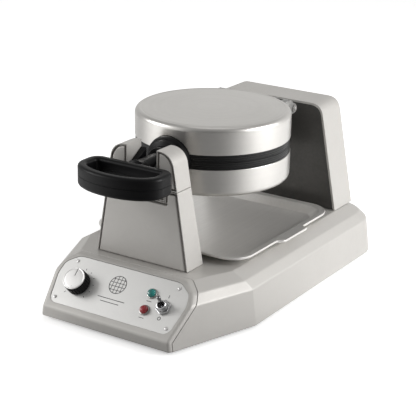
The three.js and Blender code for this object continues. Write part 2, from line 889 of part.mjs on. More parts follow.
function makeTower() {
  const y0 = front + towerFromFront;
  const y1 = y0 + towerDepth;
  const below = -5;
  addPart(
    "rear_tower",
    prismY(towerOutline(0, gap), y0, y1).subtract(
      prismY(towerOutline(castWall, below), y0 - through, y1 - castWall),
    ),
    finishes.paint,
  );

  const faceFront = y0 + faceRecess;
  const faceBack = faceFront + castWall;
  addPart(
    "tower_face_plate",
    prismY(towerOutline(castWall + seam / 2, gap * 2), faceFront, faceBack).subtract(
      rodY(axleRadius + 2, faceFront - through, faceBack + through, 0, axisZ),
    ),
    finishes.darkPaint,
  );

  const flangeFront = faceBack + gap;
  const bracketFront = flangeFront + bearingFlangeDepth;
  const bracketBack = bracketFront + bracketThickness;
  const bearingBack = collarFront - gap;
  const bracketHalf = bracketWidth / 2;
  const bracketLow = deckZ + gap;
  const web = box(
    -bracketHalf,
    bracketHalf,
    bracketFront,
    bracketBack,
    bracketLow,
    axisZ + bearingFlange,
  );
  const foot = box(
    -bracketHalf,
    bracketHalf,
    bracketFront,
    bracketFront + bracketFoot,
    bracketLow,
    bracketLow + bracketFootThickness,
  );
  const pinFront = bracketBack - stopPinSeat;
  addPart(
    "bearing_bracket",
    cutBy(joined([web, foot]), [
      rodY(bearingRadius + gap, bracketFront - through, bracketBack + through, 0, axisZ),
      rodY(stopPinRadius + gap, pinFront - gap, bracketBack + through, stopRadius, axisZ),
      rodZ(wireHoleRadius, deckZ - through, deckZ + through, 0, y0 + towerDepth / 2),
    ]),
    finishes.steel,
  );
  const bore = axleRadius + gap;
  const bearing = turned(
    [
      [bore, flangeFront],
      [bearingFlange, flangeFront],
      [bearingFlange, bracketFront - gap],
      [bearingRadius, bracketFront - gap],
      [bearingRadius, bearingBack],
      [bore, bearingBack],
      [bore, flangeFront],
    ],
    true,
  );
  addPart("axle_bearing", bearing, finishes.brass).position.set(0, 0, axisZ);

  const stopPin = rodY(stopPinRadius, pinFront, collarFront + collarWidth, stopRadius, axisZ);
  addPart("flip_stop_pin", stopPin, finishes.steel);
}

// ================================================================ drum
const drum = new THREE.Group();
drum.position.set(0, drumY, axisZ);
group.add(drum);

// Cutters for the two flanges, along Y at the drum's front and back.
const flangeCut = (clear) =>
  joined([
    rodY(flangeRadius + clear, -drumRadius - through, -flangeInner + clear),
    rodY(flangeRadius + clear, flangeInner - clear, drumRadius + through),
  ]);

function drumShell() {
  const inner = drumRadius - shellWall;
  const arcX = drumRadius - drumEdgeRadius;
  const arcZ = drumHalfHeight - drumEdgeRadius;
  return turned([
    [drumRadius, bandHalfHeight],
    ...arc(arcX, arcZ, drumEdgeRadius, 0, 90, 4),
    [arcX - creaseWidth, drumHalfHeight - creaseDepth],
    [arcX - creaseWidth * 2, drumHalfHeight],
    [0, drumHalfHeight],
    [0, drumHalfHeight - shellWall],
    ...arc(arcX, arcZ, drumEdgeRadius - shellWall, 90, 0, 2),
    [inner, bandHalfHeight],
    [drumRadius, bandHalfHeight],
  ]).subtract(flangeCut(gap * 1.5));
}

function bandRing() {
  const outer = drumRadius - bandInset;
  return turned([
    [ringInner, partingGap / 2],
    [outer, partingGap / 2],
    [outer, bandHalfHeight - gap],
    [outer - bandDepth, bandHalfHeight - gap],
    [outer - bandDepth, bandHalfHeight + bandTuck],
    [ringInner, bandHalfHeight + bandTuck],
    [ringInner, partingGap / 2],
  ]).subtract(flangeCut(gap));
}

function gridPlate() {
  const face = partingGap / 2;
  const floor = face + cavityDepth;
  const disc = rodZ(plateRadius, face, face + plateThickness);
  const pegRadius = pegBase / Math.SQRT2;
  const reach = cavityRadius - cavityDraft - pegRadius;
  const steps = [];
  for (let step = 0.5; step * pegPitch < reach; step++) steps.push(-step, step);
  const cavities = [];
  const pegs = [];
  const sides = [-cavityOffset, cavityOffset];
  for (const cx of sides) {
    for (const cy of sides) {
      cavities.push(rodZ(cavityRadius, face - 1, floor, cx, cy, cavityRadius - cavityDraft));
      for (const i of steps) {
        for (const j of steps) {
          if (Math.hypot(i, j) * pegPitch > reach) continue;
          const peg = new THREE.CylinderGeometry(pegRadius, pegTip / Math.SQRT2, pegHeight + 1, 4);
          peg.rotateY(Math.PI / 4);
          peg.rotateX(Math.PI / 2);
          peg.translate(cx + i * pegPitch, cy + j * pegPitch, floor + (1 - pegHeight) / 2);
          pegs.push(solid(peg));
        }
      }
    }
  }
  return joined([cutBy(disc, cavities), ...pegs]);
}

function heatingElement() {
  const z = partingGap / 2 + plateThickness + gap + elementRadius;
  const ringRadius = ringInner - elementInset;
  class RingPath extends THREE.Curve {
    getPoint(t, target = new THREE.Vector3()) {
      const angle = THREE.MathUtils.degToRad(110 + 320 * t);
      return target.set(ringRadius * Math.cos(angle), ringRadius * Math.sin(angle), z);
    }
  }
  const section = shapeOf(arc(0, 0, elementRadius, 0, 300, 5));
  return solid(
    new THREE.ExtrudeGeometry(section, {
      steps: 16,
      extrudePath: new RingPath(),
      bevelEnabled: false,
    }),
  );
}

// The handle's ring, inset from its outer outline, in the drum's own frame.
function handleRing(inset) {
  const curveY = front + handleFromFront - drumY + handleCurve;
  const back = front + handleBack - drumY - inset;
  const halfWidth = handleHalfWidth - inset;
  const depth = handleCurve - inset;
  const radius = Math.max(handleCorner - inset, handleRound);
  return [
    ...arc(0, 0, 1, 180, 360, 16).map(([c, s]) => [halfWidth * c, curveY + depth * s]),
    ...arc(halfWidth - radius, back - radius, radius, 0, 90, 4).slice(1),
    ...arc(-halfWidth + radius, back - radius, radius, 90, 180, 4),
  ];
}

// Half of the handle, with half of the neck that turns in the yoke: the upper half.
function handleHalf() {
  const outline = shapeOf(handleRing(handleRound));
  const hole = handleRing(handleBar - handleRound);
  outline.holes.push(new THREE.Path(hole.map(([x, y]) => new THREE.Vector2(x, y))));
  const ring = new THREE.ExtrudeGeometry(outline, {
    depth: handleHeight - 2 * handleRound,
    bevelThickness: handleRound,
    bevelSize: handleRound,
    bevelSegments: 2,
  });
  ring.translate(0, 0, -handleHeight / 2 + handleRound);
  const ringBack = front + handleBack - drumY;
  const yokeFront = front + postFromFront - drumY;
  const flare = yokeFront + postDepth + 4;
  const neck = turned(
    [
      [0, ringBack - handleBar / 2],
      [handleHeight / 2 - 2, ringBack - handleBar / 2],
      [neckRoot, ringBack + 1],
      [neckRadius, yokeFront - 2],
      [neckRadius, flare],
      [neckRadius + 5, flare + 3],
      [neckRadius + 6, flare + 9],
      [flangeRadius - 4, flare + 12],
      [flangeRadius - 2, -drumRadius - 5],
      [flangeRadius, -drumRadius - 3],
      [flangeRadius, -flangeInner],
      [0, -flangeInner],
    ],
    true,
  );
  const upperHalf = box(-far, far, -far, 0, partingGap / 2, far);
  return joined([solid(ring), neck]).intersect(upperHalf);
}

function makeDrum() {
  const pieces = [
    ["housing", drumShell(), finishes.aluminium],
    ["trim_ring", bandRing(), finishes.black],
    ["grid_plate", gridPlate(), finishes.castPlate],
    ["heating_element", heatingElement(), finishes.steel],
    ["handle", handleHalf(), finishes.black],
  ];
  for (const [name, body, finish] of pieces) {
    addPart("upper_" + name, body, finish, drum);
    addPart("lower_" + name, turnedOver(body), finish, drum);
  }

  const axleEnd = front + towerFromFront + towerDepth - castWall - 4 - drumY;
  const axle = turned(
    [
      [axleBore, flangeInner],
      [flangeRadius, flangeInner],
      [flangeRadius, flangeBack - 1.5],
      [flangeRadius - 1.5, flangeBack],
      [axleRadius, flangeBack],
      [axleRadius, axleEnd],
      [axleBore, axleEnd],
      [axleBore, flangeInner],
    ],
    true,
  );
  addPart("rear_axle", axle, finishes.steel, drum);

  const collarStart = collarFront - drumY;
  const collarEnd = collarStart + collarWidth;
  const ring = rodY(axleRadius + collarWall, collarStart, collarEnd);
  const stop = prismY(
    [
      [0, 0],
      ...arc(0, 0, stopRadius + stopPinRadius + 0.5, stopAngle, 180 - stopAngle, 14),
    ],
    collarStart,
    collarEnd,
  );
  const bore = rodY(axleRadius + gap, 0, far);
  addPart("axle_collar", joined([ring, stop]).subtract(bore), finishes.steel, drum);
  makeHinge();
}

function makeHinge() {
  const wallBack = drumRadius + 0.6;
  const knuckle = (x0, x1) => rodX(knuckleRadius, x0, x1, hingeY, hingeAboveAxis);
  const pinHole = rodX(hingePinRadius + gap, -far, far, hingeY, hingeAboveAxis);
  const bothSides = (inner, outer) => [
    [-outer, -inner],
    [inner, outer],
  ];

  const bracketHigh = -flangeRadius - 2;
  const bracketLow = bracketHigh - strapWidth;
  const arms = bothSides(armOuter - armWidth, armOuter).flatMap(([x0, x1]) => [
    prismX(
      [
        [wallBack, bracketLow],
        [wallBack + 6, bracketLow],
        [hingeY + knuckleRadius - 0.2, hingeAboveAxis],
        [hingeY - knuckleRadius + 0.2, hingeAboveAxis],
        [wallBack, -4],
      ],
      x0,
      x1,
    ),
    knuckle(x0, x1),
  ]);
  const strap = box(-armOuter, armOuter, wallBack, wallBack + 4, bracketLow, bracketHigh);
  const bracket = joined([strap, ...arms]).subtract(pinHole);
  addPart("hinge_bracket", bracket, finishes.aluminium, drum);

  const earInner = armOuter + earGap;
  const earOuter = earInner + earWidth;
  const earTop = hingeAboveAxis + 13;
  const earRoot = drumRadius - 22;
  const ears = bothSides(earInner, earOuter).flatMap(([x0, x1]) => [
    prismX(
      [
        [earRoot, hingeAboveAxis - knuckleRadius],
        [hingeY, hingeAboveAxis - knuckleRadius],
        [hingeY, hingeAboveAxis + knuckleRadius],
        [drumRadius + 3, earTop],
        [earRoot, earTop],
      ],
      x0,
      x1,
    ),
    knuckle(x0, x1),
  ]);
  const lidStrap = box(-earOuter, earOuter, wallBack, wallBack + 2.6, flangeRadius + 3, earTop);
  const drumSide = rodZ(drumRadius + gap, -far, far);
  addPart(
    "hinge_ears",
    cutBy(joined([lidStrap, ...ears]), [drumSide, pinHole]),
    finishes.aluminium,
    drum,
  );

  const clipInner = earOuter + gap;
  const clipOuter = clipInner + clipThickness;
  const pinEnd = clipOuter + 1.5;
  const pin = rodX(hingePinRadius, -pinEnd, pinEnd, hingeY, hingeAboveAxis);
  addPart("hinge_pin", pin, finishes.steel, drum);
  bothSides(clipInner, clipOuter).forEach(([x0, x1], i) => {
    const clip = rodX(hingePinRadius + 2, x0, x1, hingeY, hingeAboveAxis).subtract(pinHole);
    addPart("hinge_clip_" + (i ? "right" : "left"), clip, finishes.steel, drum);
  });
}

// ================================================================ drip tray
function roundedRectangle(halfX, halfY, radius) {
  return [
    ...arc(halfX - radius, -halfY + radius, radius, -90, 0, 4),
    ...arc(halfX - radius, halfY - radius, radius, 0, 90, 4),
    ...arc(-halfX + radius, halfY - radius, radius, 90, 180, 4),
    ...arc(-halfX + radius, -halfY + radius, radius, 180, 270, 4),
  ];
}

function makeTray() {
  const tray = new THREE.Group();
  tray.position.set(0, front + trayFromFront + trayLength / 2, deckZ + gap);
  group.add(tray);
  const halfX = trayWidth / 2;
  const halfY = trayLength / 2;
  const brimX = halfX - trayFlange;
  const brimY = halfY - trayFlange;
  const brimCorner = trayCorner - trayFlange + 2;
  const pan = (wall) => {
    const foot = traySlope + wall;
    const low = roundedRectangle(brimX - foot, brimY - foot, brimCorner - trayCornerLoss);
    const high = roundedRectangle(brimX - wall, brimY - wall, brimCorner);
    const top = trayRimHeight + wall / 2;
    return hull([...low.map(([x, y]) => [x, y, wall]), ...high.map(([x, y]) => [x, y, top])]);
  };
  const rim = (inset) => roundedRectangle(halfX - inset, halfY - inset, trayCorner - inset);
  const brim = prismZ(rim(0), trayRimHeight - traySheet, trayRimHeight);
  const bead = prismZ(rim(0), trayRimHeight - trayBead, trayRimHeight + 0.5).subtract(
    prismZ(rim(beadWidth), 0, trayRimHeight + through),
  );
  const tabLow = tabFromTray - halfY;
  const tabHigh = tabLow + tabWidth;
  const tabEdge = halfX + tabReach;
  const tabs = [-1, 1].map((side) => {
    const outline = [
      [halfX - 3, tabLow - 6],
      [tabEdge - 2, tabLow + 1],
      [tabEdge, tabLow + 5],
      [tabEdge, tabHigh - 3],
      [tabEdge - 3, tabHigh],
      [halfX - 3, tabHigh],
    ].map(([x, y]) => [side * x, y]);
    const turnedRound = side > 0 ? outline : outline.reverse();
    return prismZ(turnedRound, trayRimHeight - tabSheet, trayRimHeight);
  });
  addPart(
    "drip_tray",
    joined([brim, pan(0), bead, ...tabs]).subtract(pan(traySheet)),
    finishes.steel,
    tray,
  );
}

// ================================================================ inside the base
function makeInside() {
  const seat = rear - bushingSeat + gap;
  const tail = seat - bushingLength;
  const bushing = turned(
    [
      [cordBore, tail],
      [bushingRadius - 0.8, tail],
      [bushingRadius, tail + 4],
      [bushingRadius, seat],
      [bushingFlange, seat],
      [bushingFlange - 0.8, seat + 1.8],
      [cordBore + 0.8, seat + 2.2],
      [cordBore, seat + 1.6],
      [cordBore, tail],
    ],
    true,
  );
  addPart("cord_bushing", bushing, finishes.black).position.set(cordX, 0, cordZ);

  const blockBack = rear - terminalFromRear;
  const blockX = 30;
  const blockHalf = 20;
  const blockLow = basePlateTop + gap;
  const block = box(
    blockX - blockHalf,
    blockX + blockHalf,
    blockBack - 22,
    blockBack,
    blockLow,
    blockLow + 18,
  );
  const wells = [-12, 0, 12].map((dx) =>
    rodZ(3, blockLow + 8, blockLow + through, blockX + dx, blockBack - 11),
  );
  addPart("terminal_block", cutBy(block, wells), finishes.innerPlastic);
}

makeBase();
makeControlPanel();
makePost();
makeTower();
makeDrum();
makeTray();
makeInside();

export default group;
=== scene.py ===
import math

import bmesh
import bpy
from mathutils import Matrix, Vector


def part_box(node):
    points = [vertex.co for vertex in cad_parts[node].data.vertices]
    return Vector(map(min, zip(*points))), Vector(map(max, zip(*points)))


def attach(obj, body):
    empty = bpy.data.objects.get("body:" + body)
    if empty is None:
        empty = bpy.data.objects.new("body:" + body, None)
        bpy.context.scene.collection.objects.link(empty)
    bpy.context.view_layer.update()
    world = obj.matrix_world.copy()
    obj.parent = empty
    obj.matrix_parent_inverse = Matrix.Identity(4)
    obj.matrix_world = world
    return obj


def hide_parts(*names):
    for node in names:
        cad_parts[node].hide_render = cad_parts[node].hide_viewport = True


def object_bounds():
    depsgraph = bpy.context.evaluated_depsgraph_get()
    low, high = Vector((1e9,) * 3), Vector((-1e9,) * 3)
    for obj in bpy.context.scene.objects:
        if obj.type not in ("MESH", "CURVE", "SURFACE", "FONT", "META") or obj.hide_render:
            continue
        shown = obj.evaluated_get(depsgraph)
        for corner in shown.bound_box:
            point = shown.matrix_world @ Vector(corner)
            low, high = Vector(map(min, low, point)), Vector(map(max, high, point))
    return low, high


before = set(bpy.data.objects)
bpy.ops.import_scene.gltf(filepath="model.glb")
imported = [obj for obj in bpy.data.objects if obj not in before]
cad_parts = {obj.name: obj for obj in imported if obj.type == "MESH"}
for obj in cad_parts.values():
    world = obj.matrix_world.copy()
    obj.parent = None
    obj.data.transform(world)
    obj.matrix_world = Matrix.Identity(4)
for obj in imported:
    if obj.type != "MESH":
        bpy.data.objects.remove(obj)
CAD_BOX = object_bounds()

bl_info = {
    "name": "Rotary Waffle Maker",
    "version": (1, 0, 0),
    "blender": (4, 5, 0),
    "location": "View3D > Sidebar > Waffle Maker",
    "description": "Builds the visible pieces, finishes and studio of a rotary waffle maker",
    "category": "Object",
}

# ------------------------------------------------------------------ places taken from the frame
MM = 0.001


def middle(node):
    low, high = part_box(node)
    return (low + high) / 2


AXIS_Z = middle("axle_bearing").z
DRUM_X = middle("upper_housing").x
DRUM_Y = middle("upper_housing").y
DRUM_RADIUS = (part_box("upper_housing")[1].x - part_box("upper_housing")[0].x) / 2
DRUM_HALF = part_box("upper_housing")[1].z - AXIS_Z
DECK_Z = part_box("base_housing")[1].z
EDGE_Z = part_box("base_housing")[0].z
FRONT_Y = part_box("front_fascia")[0].y
REAR_Y = CAD_BOX[1].y
HALF_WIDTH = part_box("base_housing")[1].x
AXIS = Vector((DRUM_X, DRUM_Y, AXIS_Z))

# Sizes of the base that the frame's boxes don't give.
LIP_HEIGHT = 13 * MM
PANEL_RUN = 55 * MM
FLARE_LENGTH = 121 * MM
CAST_WALL = 3 * MM
FASCIA_DEPTH = 5 * MM
SEAM = 0.8 * MM
GAP = 0.3 * MM
PANEL_RISE = DECK_Z - EDGE_Z - LIP_HEIGHT
PANEL_SLOPE = math.atan2(PANEL_RISE, PANEL_RUN)
PANEL_LENGTH = math.hypot(PANEL_RUN, PANEL_RISE)
PLATE_FROM_LIP = 8.3 * MM
PLATE_FROM_DECK = 3.7 * MM
PANEL_MIDDLE = (PLATE_FROM_LIP + PANEL_LENGTH - PLATE_FROM_DECK) / 2
PLATE_TOP = -0.5 * MM

# The panel's own frame: X across, Y up the slope from the lip, Z out of the panel.
PANEL = Matrix.Translation((0, FRONT_Y, EDGE_Z + LIP_HEIGHT)) @ Matrix.Rotation(
    PANEL_SLOPE, 4, "X"
)
KNOB_PLACE = (-56 * MM, PANEL_MIDDLE - 2.1 * MM)
READY_PLACE = (42.5 * MM, PANEL_MIDDLE + 10.3 * MM)
POWER_PLACE = (42.5 * MM, PANEL_MIDDLE - 11 * MM)
TOGGLE_PLACE = (64.8 * MM, PANEL_MIDDLE - 2.2 * MM)
BAND_HALF = 9.1 * MM
PARTING = 0.25 * MM
FLANGE_RADIUS = 28 * MM
FLANGE_IN = DRUM_RADIUS - 5.8 * MM
HANDLE_DEPTH = 59.6 * MM
HANDLE_BAR = 11.5 * MM
HANDLE_HALF = 13 * MM


# ------------------------------------------------------------------ settings
def length_setting(label, text, value):
    return bpy.props.FloatProperty(name=label, description=text, default=value, unit="LENGTH")


class WaffleSizes(bpy.types.PropertyGroup):
    """Sizes of the fine detail"""

    crease_round: length_setting(
        "Crease Rounding", "Rounding of the creases between the base's faces", 2.6 * MM
    )
    casting_round: length_setting(
        "Casting Rounding", "Rounding of the edges of the post and tower castings", 1.3 * MM
    )
    drum_crown: length_setting(
        "Drum Crown", "How far the middle of each drum end stands above its edge", 0.9 * MM
    )
    drum_edge: length_setting(
        "Drum Edge Radius", "Radius of the drum's spun edges", 6.5 * MM
    )
    groove_depth: length_setting(
        "Band Groove Depth", "Depth of the fine grooves round the black band", 0.45 * MM
    )
    groove_count: bpy.props.IntProperty(
        name="Band Grooves",
        description="Grooves round each half of the black band",
        default=3,
    )
    handle_round: length_setting(
        "Handle Rounding", "Rounding of the handle bar's edges", 4.2 * MM
    )
    knob_ridges: bpy.props.IntProperty(
        name="Knob Ridges",
        description="Grip ridges round the temperature knob",
        default=26,
    )
    print_height: length_setting(
        "Print Height", "Thickness of the marks printed on the control panel", 0.12 * MM
    )


def colour_setting(label, text, value):
    return bpy.props.FloatVectorProperty(
        name=label,
        description=text,
        subtype="COLOR",
        size=4,
        min=0.0,
        max=1.0,
        default=(*value, 1.0),
    )


class WaffleColours(bpy.types.PropertyGroup):
    """Colours of the finishes"""

    paint: colour_setting("Casting Paint", "Silver paint on the castings", (0.50, 0.485, 0.462))
    # The tower's face plate is coloured a dark grey, far darker than the castings.
    face: colour_setting("Tower Face", "Dark grey of the tower's face plate", (0.085, 0.082, 0.077))
    drum: colour_setting("Drum Metal", "Spun aluminium of the drum", (0.66, 0.645, 0.62))
    black: colour_setting("Handle Black", "Moulded black of the handle", (0.0035, 0.0035, 0.004))
    band: colour_setting("Band Black", "Black of the band round the drum", (0.004, 0.004, 0.004))
    steel: colour_setting("Tray Steel", "Brushed steel of the tray", (0.78, 0.765, 0.74))
    panel: colour_setting("Panel Silver", "Silver of the control panel", (0.72, 0.715, 0.70))
    green: colour_setting("Ready Lens", "Green of the ready lamp", (0.004, 0.30, 0.27))
    red: colour_setting("Power Lens", "Red of the power lamp", (0.50, 0.006, 0.02))
    grid: colour_setting("Grid Coating", "Dark coating of the waffle grids", (0.035, 0.034, 0.033))


# ------------------------------------------------------------------ modelling
def start_alone():
    if bpy.context.object and bpy.context.object.mode != "OBJECT":
        bpy.ops.object.mode_set(mode="OBJECT")
    bpy.ops.object.select_all(action="DESELECT")


def pick(obj):
    start_alone()
    obj.select_set(True)
    bpy.context.view_layer.objects.active = obj


def tidy_surface(obj):
    """Merges doubles and turns every face outwards."""
    pick(obj)
    bpy.ops.object.mode_set(mode="EDIT")
    bpy.ops.mesh.select_all(action="SELECT")
    bpy.ops.mesh.remove_doubles(threshold=1e-6)
    bpy.ops.mesh.normals_make_consistent(inside=False)
    bpy.ops.object.mode_set(mode="OBJECT")
    return obj


def lofted(name, loops, ring=False):
    """A skin drawn through loops that all have as many points. The end loops are filled, or
    joined to each other when the skin closes on itself."""
    start_alone()
    count = len(loops[0])
    bpy.ops.mesh.primitive_circle_add(
        vertices=count, radius=1, fill_type="NOTHING" if ring else "NGON"
    )
    obj = bpy.context.object
    obj.name = name
    for vertex, point in zip(obj.data.vertices, loops[0]):
        vertex.co = point
    bpy.ops.object.mode_set(mode="EDIT")
    bpy.ops.mesh.select_mode(type="VERT")
    bpy.ops.mesh.select_all(action="SELECT")
    for loop in loops[1:]:
        if ring:
            bpy.ops.mesh.extrude_edges_move()
        else:
            bpy.ops.mesh.extrude_region_move()
        shape = bmesh.from_edit_mesh(obj.data)
        moved = [v for v in shape.verts if v.select]
        for vertex, point in zip(moved, loop):
            vertex.co = point
        bmesh.update_edit_mesh(obj.data)
    if ring:
        bpy.ops.mesh.select_all(action="DESELECT")
        bpy.ops.mesh.select_non_manifold(
            extend=False, use_wire=False, use_multi_face=False, use_non_contiguous=False
        )
        bpy.ops.mesh.bridge_edge_loops()
    bpy.ops.object.mode_set(mode="OBJECT")
    return tidy_surface(obj)


def turned(name, profile, centre, axis, steps=96, closed=False):
    """Spins a profile of (radius, height) points round an axis through centre. An open profile
    starts and ends on the axis; a closed one is a ring's section."""
    start_alone()
    along = Vector(axis)
    side = Vector((0, 0, 1)) if abs(along.z) < 0.5 else Vector((1, 0, 0))
    side = (side - along * side.dot(along)).normalized()
    bpy.ops.mesh.primitive_circle_add(vertices=len(profile), radius=1)
    obj = bpy.context.object
    obj.name = name
    for vertex, (radius, height) in zip(obj.data.vertices, profile):
        vertex.co = Vector(centre) + side * radius + along * height
    bpy.ops.object.mode_set(mode="EDIT")
    if not closed:
        bpy.ops.mesh.select_mode(type="EDGE")
        bpy.ops.mesh.select_all(action="DESELECT")
        shape = bmesh.from_edit_mesh(obj.data)
        shape.verts.ensure_lookup_table()
        ends = {shape.verts[0], shape.verts[len(profile) - 1]}
        for edge in shape.edges:
            if set(edge.verts) == ends:
                edge.select = True
        bmesh.update_edit_mesh(obj.data)
        bpy.ops.mesh.delete(type="EDGE_FACE")
        bpy.ops.mesh.select_mode(type="VERT")
    bpy.ops.mesh.select_all(action="SELECT")
    bpy.ops.mesh.spin(steps=steps, angle=math.tau, center=centre, axis=axis)
    bpy.ops.object.mode_set(mode="OBJECT")
    return tidy_surface(obj)


def prism_x(name, outline, low, high):
    """An outline of (y, z) points pushed from low to high along X."""
    return lofted(name, [[(x, y, z) for y, z in outline] for x in (low, high)])


def block(name, low, high):
    """A box between two corners."""
    outline = [(low[1], low[2]), (high[1], low[2]), (high[1], high[2]), (low[1], high[2])]
    return prism_x(name, outline, low[0], high[0])


def refined(name, node):
    """A copy of a CAD node with its loose triangles merged into clean faces."""
    obj = bpy.data.objects.new(name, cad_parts[node].data.copy())
    bpy.context.scene.collection.objects.link(obj)
    pick(obj)
    bpy.ops.object.mode_set(mode="EDIT")
    bpy.ops.mesh.select_all(action="SELECT")
    bpy.ops.mesh.remove_doubles(threshold=2e-6)
    bpy.ops.mesh.dissolve_limited(angle_limit=math.radians(0.6))
    bpy.ops.mesh.quads_convert_to_tris(quad_method="BEAUTY", ngon_method="BEAUTY")
    bpy.ops.object.mode_set(mode="OBJECT")
    return obj


def add_modifier(obj, kind, **settings):
    pick(obj)
    bpy.ops.object.modifier_add(type=kind)
    modifier = obj.modifiers[-1]
    for key, value in settings.items():
        setattr(modifier, key, value)
    bpy.ops.object.modifier_apply(modifier=modifier.name)


def rounded(obj, width, limit=30, segments=3):
    add_modifier(
        obj,
        "BEVEL",
        width=width,
        segments=segments,
        limit_method="ANGLE",
        angle_limit=math.radians(limit),
        miter_outer="MITER_ARC",
        use_clamp_overlap=True,
    )
    return obj


def combined(obj, others, operation="DIFFERENCE"):
    for other in others:
        add_modifier(obj, "BOOLEAN", operation=operation, object=other, solver="EXACT")
        bpy.data.objects.remove(other)
    return obj


def smoothed(obj, angle=32, even=True):
    """Smooth shading that keeps sharp edges and, where asked, flat faces flat."""
    pick(obj)
    bpy.ops.object.shade_smooth_by_angle(angle=math.radians(angle))
    if even:
        add_modifier(obj, "WEIGHTED_NORMAL", keep_sharp=True)
    return obj


def placed(obj, matrix):
    """Puts the object where the matrix says, with its place in its mesh."""
    pick(obj)
    obj.matrix_world = matrix
    bpy.ops.object.transform_apply(location=True, rotation=True, scale=True)
    return obj


def on_panel(obj, x=0.0, up=0.0):
    return placed(obj, PANEL @ Matrix.Translation((x, up, 0)))


def copied(obj, name):
    pick(obj)
    bpy.ops.object.duplicate()
    copy = bpy.context.object
    copy.name = name
    return copy


def joined(name, objects):
    start_alone()
    for obj in objects:
        obj.select_set(True)
    bpy.context.view_layer.objects.active = objects[0]
    bpy.ops.object.join()
    objects[0].name = name
    return objects[0]


def half_turned(obj):
    """Turns a piece of the upper half over about the drum's axis, to make the lower one."""
    turn = (
        Matrix.Translation(AXIS) @ Matrix.Rotation(math.pi, 4, "Y") @ Matrix.Translation(-AXIS)
    )
    return placed(obj, turn)


def finish_piece(obj, body, finish, slot, *nodes):
    """Gives a piece its finish, its body and the CAD nodes that it stands for."""
    obj.data.materials.clear()
    obj.data.materials.append(FINISHES[finish])
    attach(obj, body)
    if nodes:
        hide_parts(*nodes)
    return obj


def refine_piece(name, cad, body, finish, slot, width, limit=50, segments=3, angle=30):
    """A CAD node's copy with rounded edges and its finish."""
    obj = rounded(refined(name, cad), width, limit, segments)
    return finish_piece(smoothed(obj, angle), body, finish, slot, cad)


def arc(cx, cy, radius, start, end, steps):
    points = []
    for i in range(steps + 1):
        angle = math.radians(start + (end - start) * i / steps)
        points.append((cx + radius * math.cos(angle), cy + radius * math.sin(angle)))
    return points


def mirrored(points):
    return [(-x, y) for x, y in reversed(points)]


def scaled(points):
    """A profile given in millimetres, in metres."""
    return [(a * MM, b * MM) for a, b in points]


# ------------------------------------------------------------------ finishes
def node(tree, kind, inputs=(), **settings):
    """Adds a shader node; an input is a value or another node's output."""
    made = tree.nodes.new("ShaderNode" + kind)
    for key, value in settings.items():
        setattr(made, key, value)
    for key, value in dict(inputs).items():
        if isinstance(value, bpy.types.NodeSocket):
            tree.links.new(value, made.inputs[key])
        else:
            made.inputs[key].default_value = value
    return made


def new_group(name, inputs, outputs):
    """An empty node group; inputs and outputs are (name, kind, default) rows."""
    tree = bpy.data.node_groups.new(name, "ShaderNodeTree")
    for label, kind, value in inputs:
        socket = tree.interface.new_socket(label, in_out="INPUT", socket_type="NodeSocket" + kind)
        if value is not None:
            socket.default_value = value
    for label, kind in outputs:
        tree.interface.new_socket(label, in_out="OUTPUT", socket_type="NodeSocket" + kind)
    return tree, tree.nodes.new("NodeGroupInput"), tree.nodes.new("NodeGroupOutput")


def math_node(tree, operation, a, b=0.0):
    return node(tree, "Math", {0: a, 1: b}, operation=operation).outputs[0]


def spread(tree, value, low, high, kind="SMOOTHSTEP"):
    """Spreads a value's range from low to high over 0 to 1."""
    inputs = {"Value": value, 1: low, 2: high, 3: 0.0, 4: 1.0}
    return node(tree, "MapRange", inputs, interpolation_type=kind).outputs["Result"]


def noise(tree, vector, scale, detail, **inputs):
    return node(
        tree, "TexNoise", {"Vector": vector, "Scale": scale, "Detail": detail, **inputs}
    ).outputs[0]


def mixed(tree, factor, a, b, kind="FLOAT"):
    inputs = {"Factor": factor, "A": a, "B": b}
    return node(tree, "Mix", inputs, data_type=kind).outputs["Result"]


def build_grain_group():
    """Fine grain of paint, castings and moulded plastic, with a soft orange peel under it."""
    tree, source, sink = new_group(
        "Surface Grain",
        [("Vector", "Vector", None), ("Grain Size", "Float", 0.4), ("Peel Share", "Float", 0.5)],
        [("Height", "Float"), ("Mask", "Float")],
    )
    scale = math_node(tree, "DIVIDE", 1000.0, source.outputs["Grain Size"])
    fine = noise(tree, source.outputs["Vector"], scale, 3.0, Roughness=0.6)
    peel = noise(tree, source.outputs["Vector"], math_node(tree, "DIVIDE", scale, 5.0), 1.0)
    height = mixed(tree, source.outputs["Peel Share"], fine, peel)
    tree.links.new(height, sink.inputs["Height"])
    tree.links.new(spread(tree, fine, 0.35, 0.65), sink.inputs["Mask"])
    return tree


def build_brush_group():
    """Straight brushed lines; the mapping before it stretches them along their length."""
    tree, source, sink = new_group(
        "Brushed Lines",
        [("Vector", "Vector", None), ("Line Width", "Float", 0.35)],
        [("Height", "Float"), ("Mask", "Float")],
    )
    scale = math_node(tree, "DIVIDE", 1000.0, source.outputs["Line Width"])
    lines = noise(tree, source.outputs["Vector"], scale, 4.0, Roughness=0.7)
    broad = noise(tree, source.outputs["Vector"], math_node(tree, "DIVIDE", scale, 9.0), 2.0)
    tree.links.new(lines, sink.inputs["Height"])
    tree.links.new(spread(tree, broad, 0.3, 0.7), sink.inputs["Mask"])
    return tree


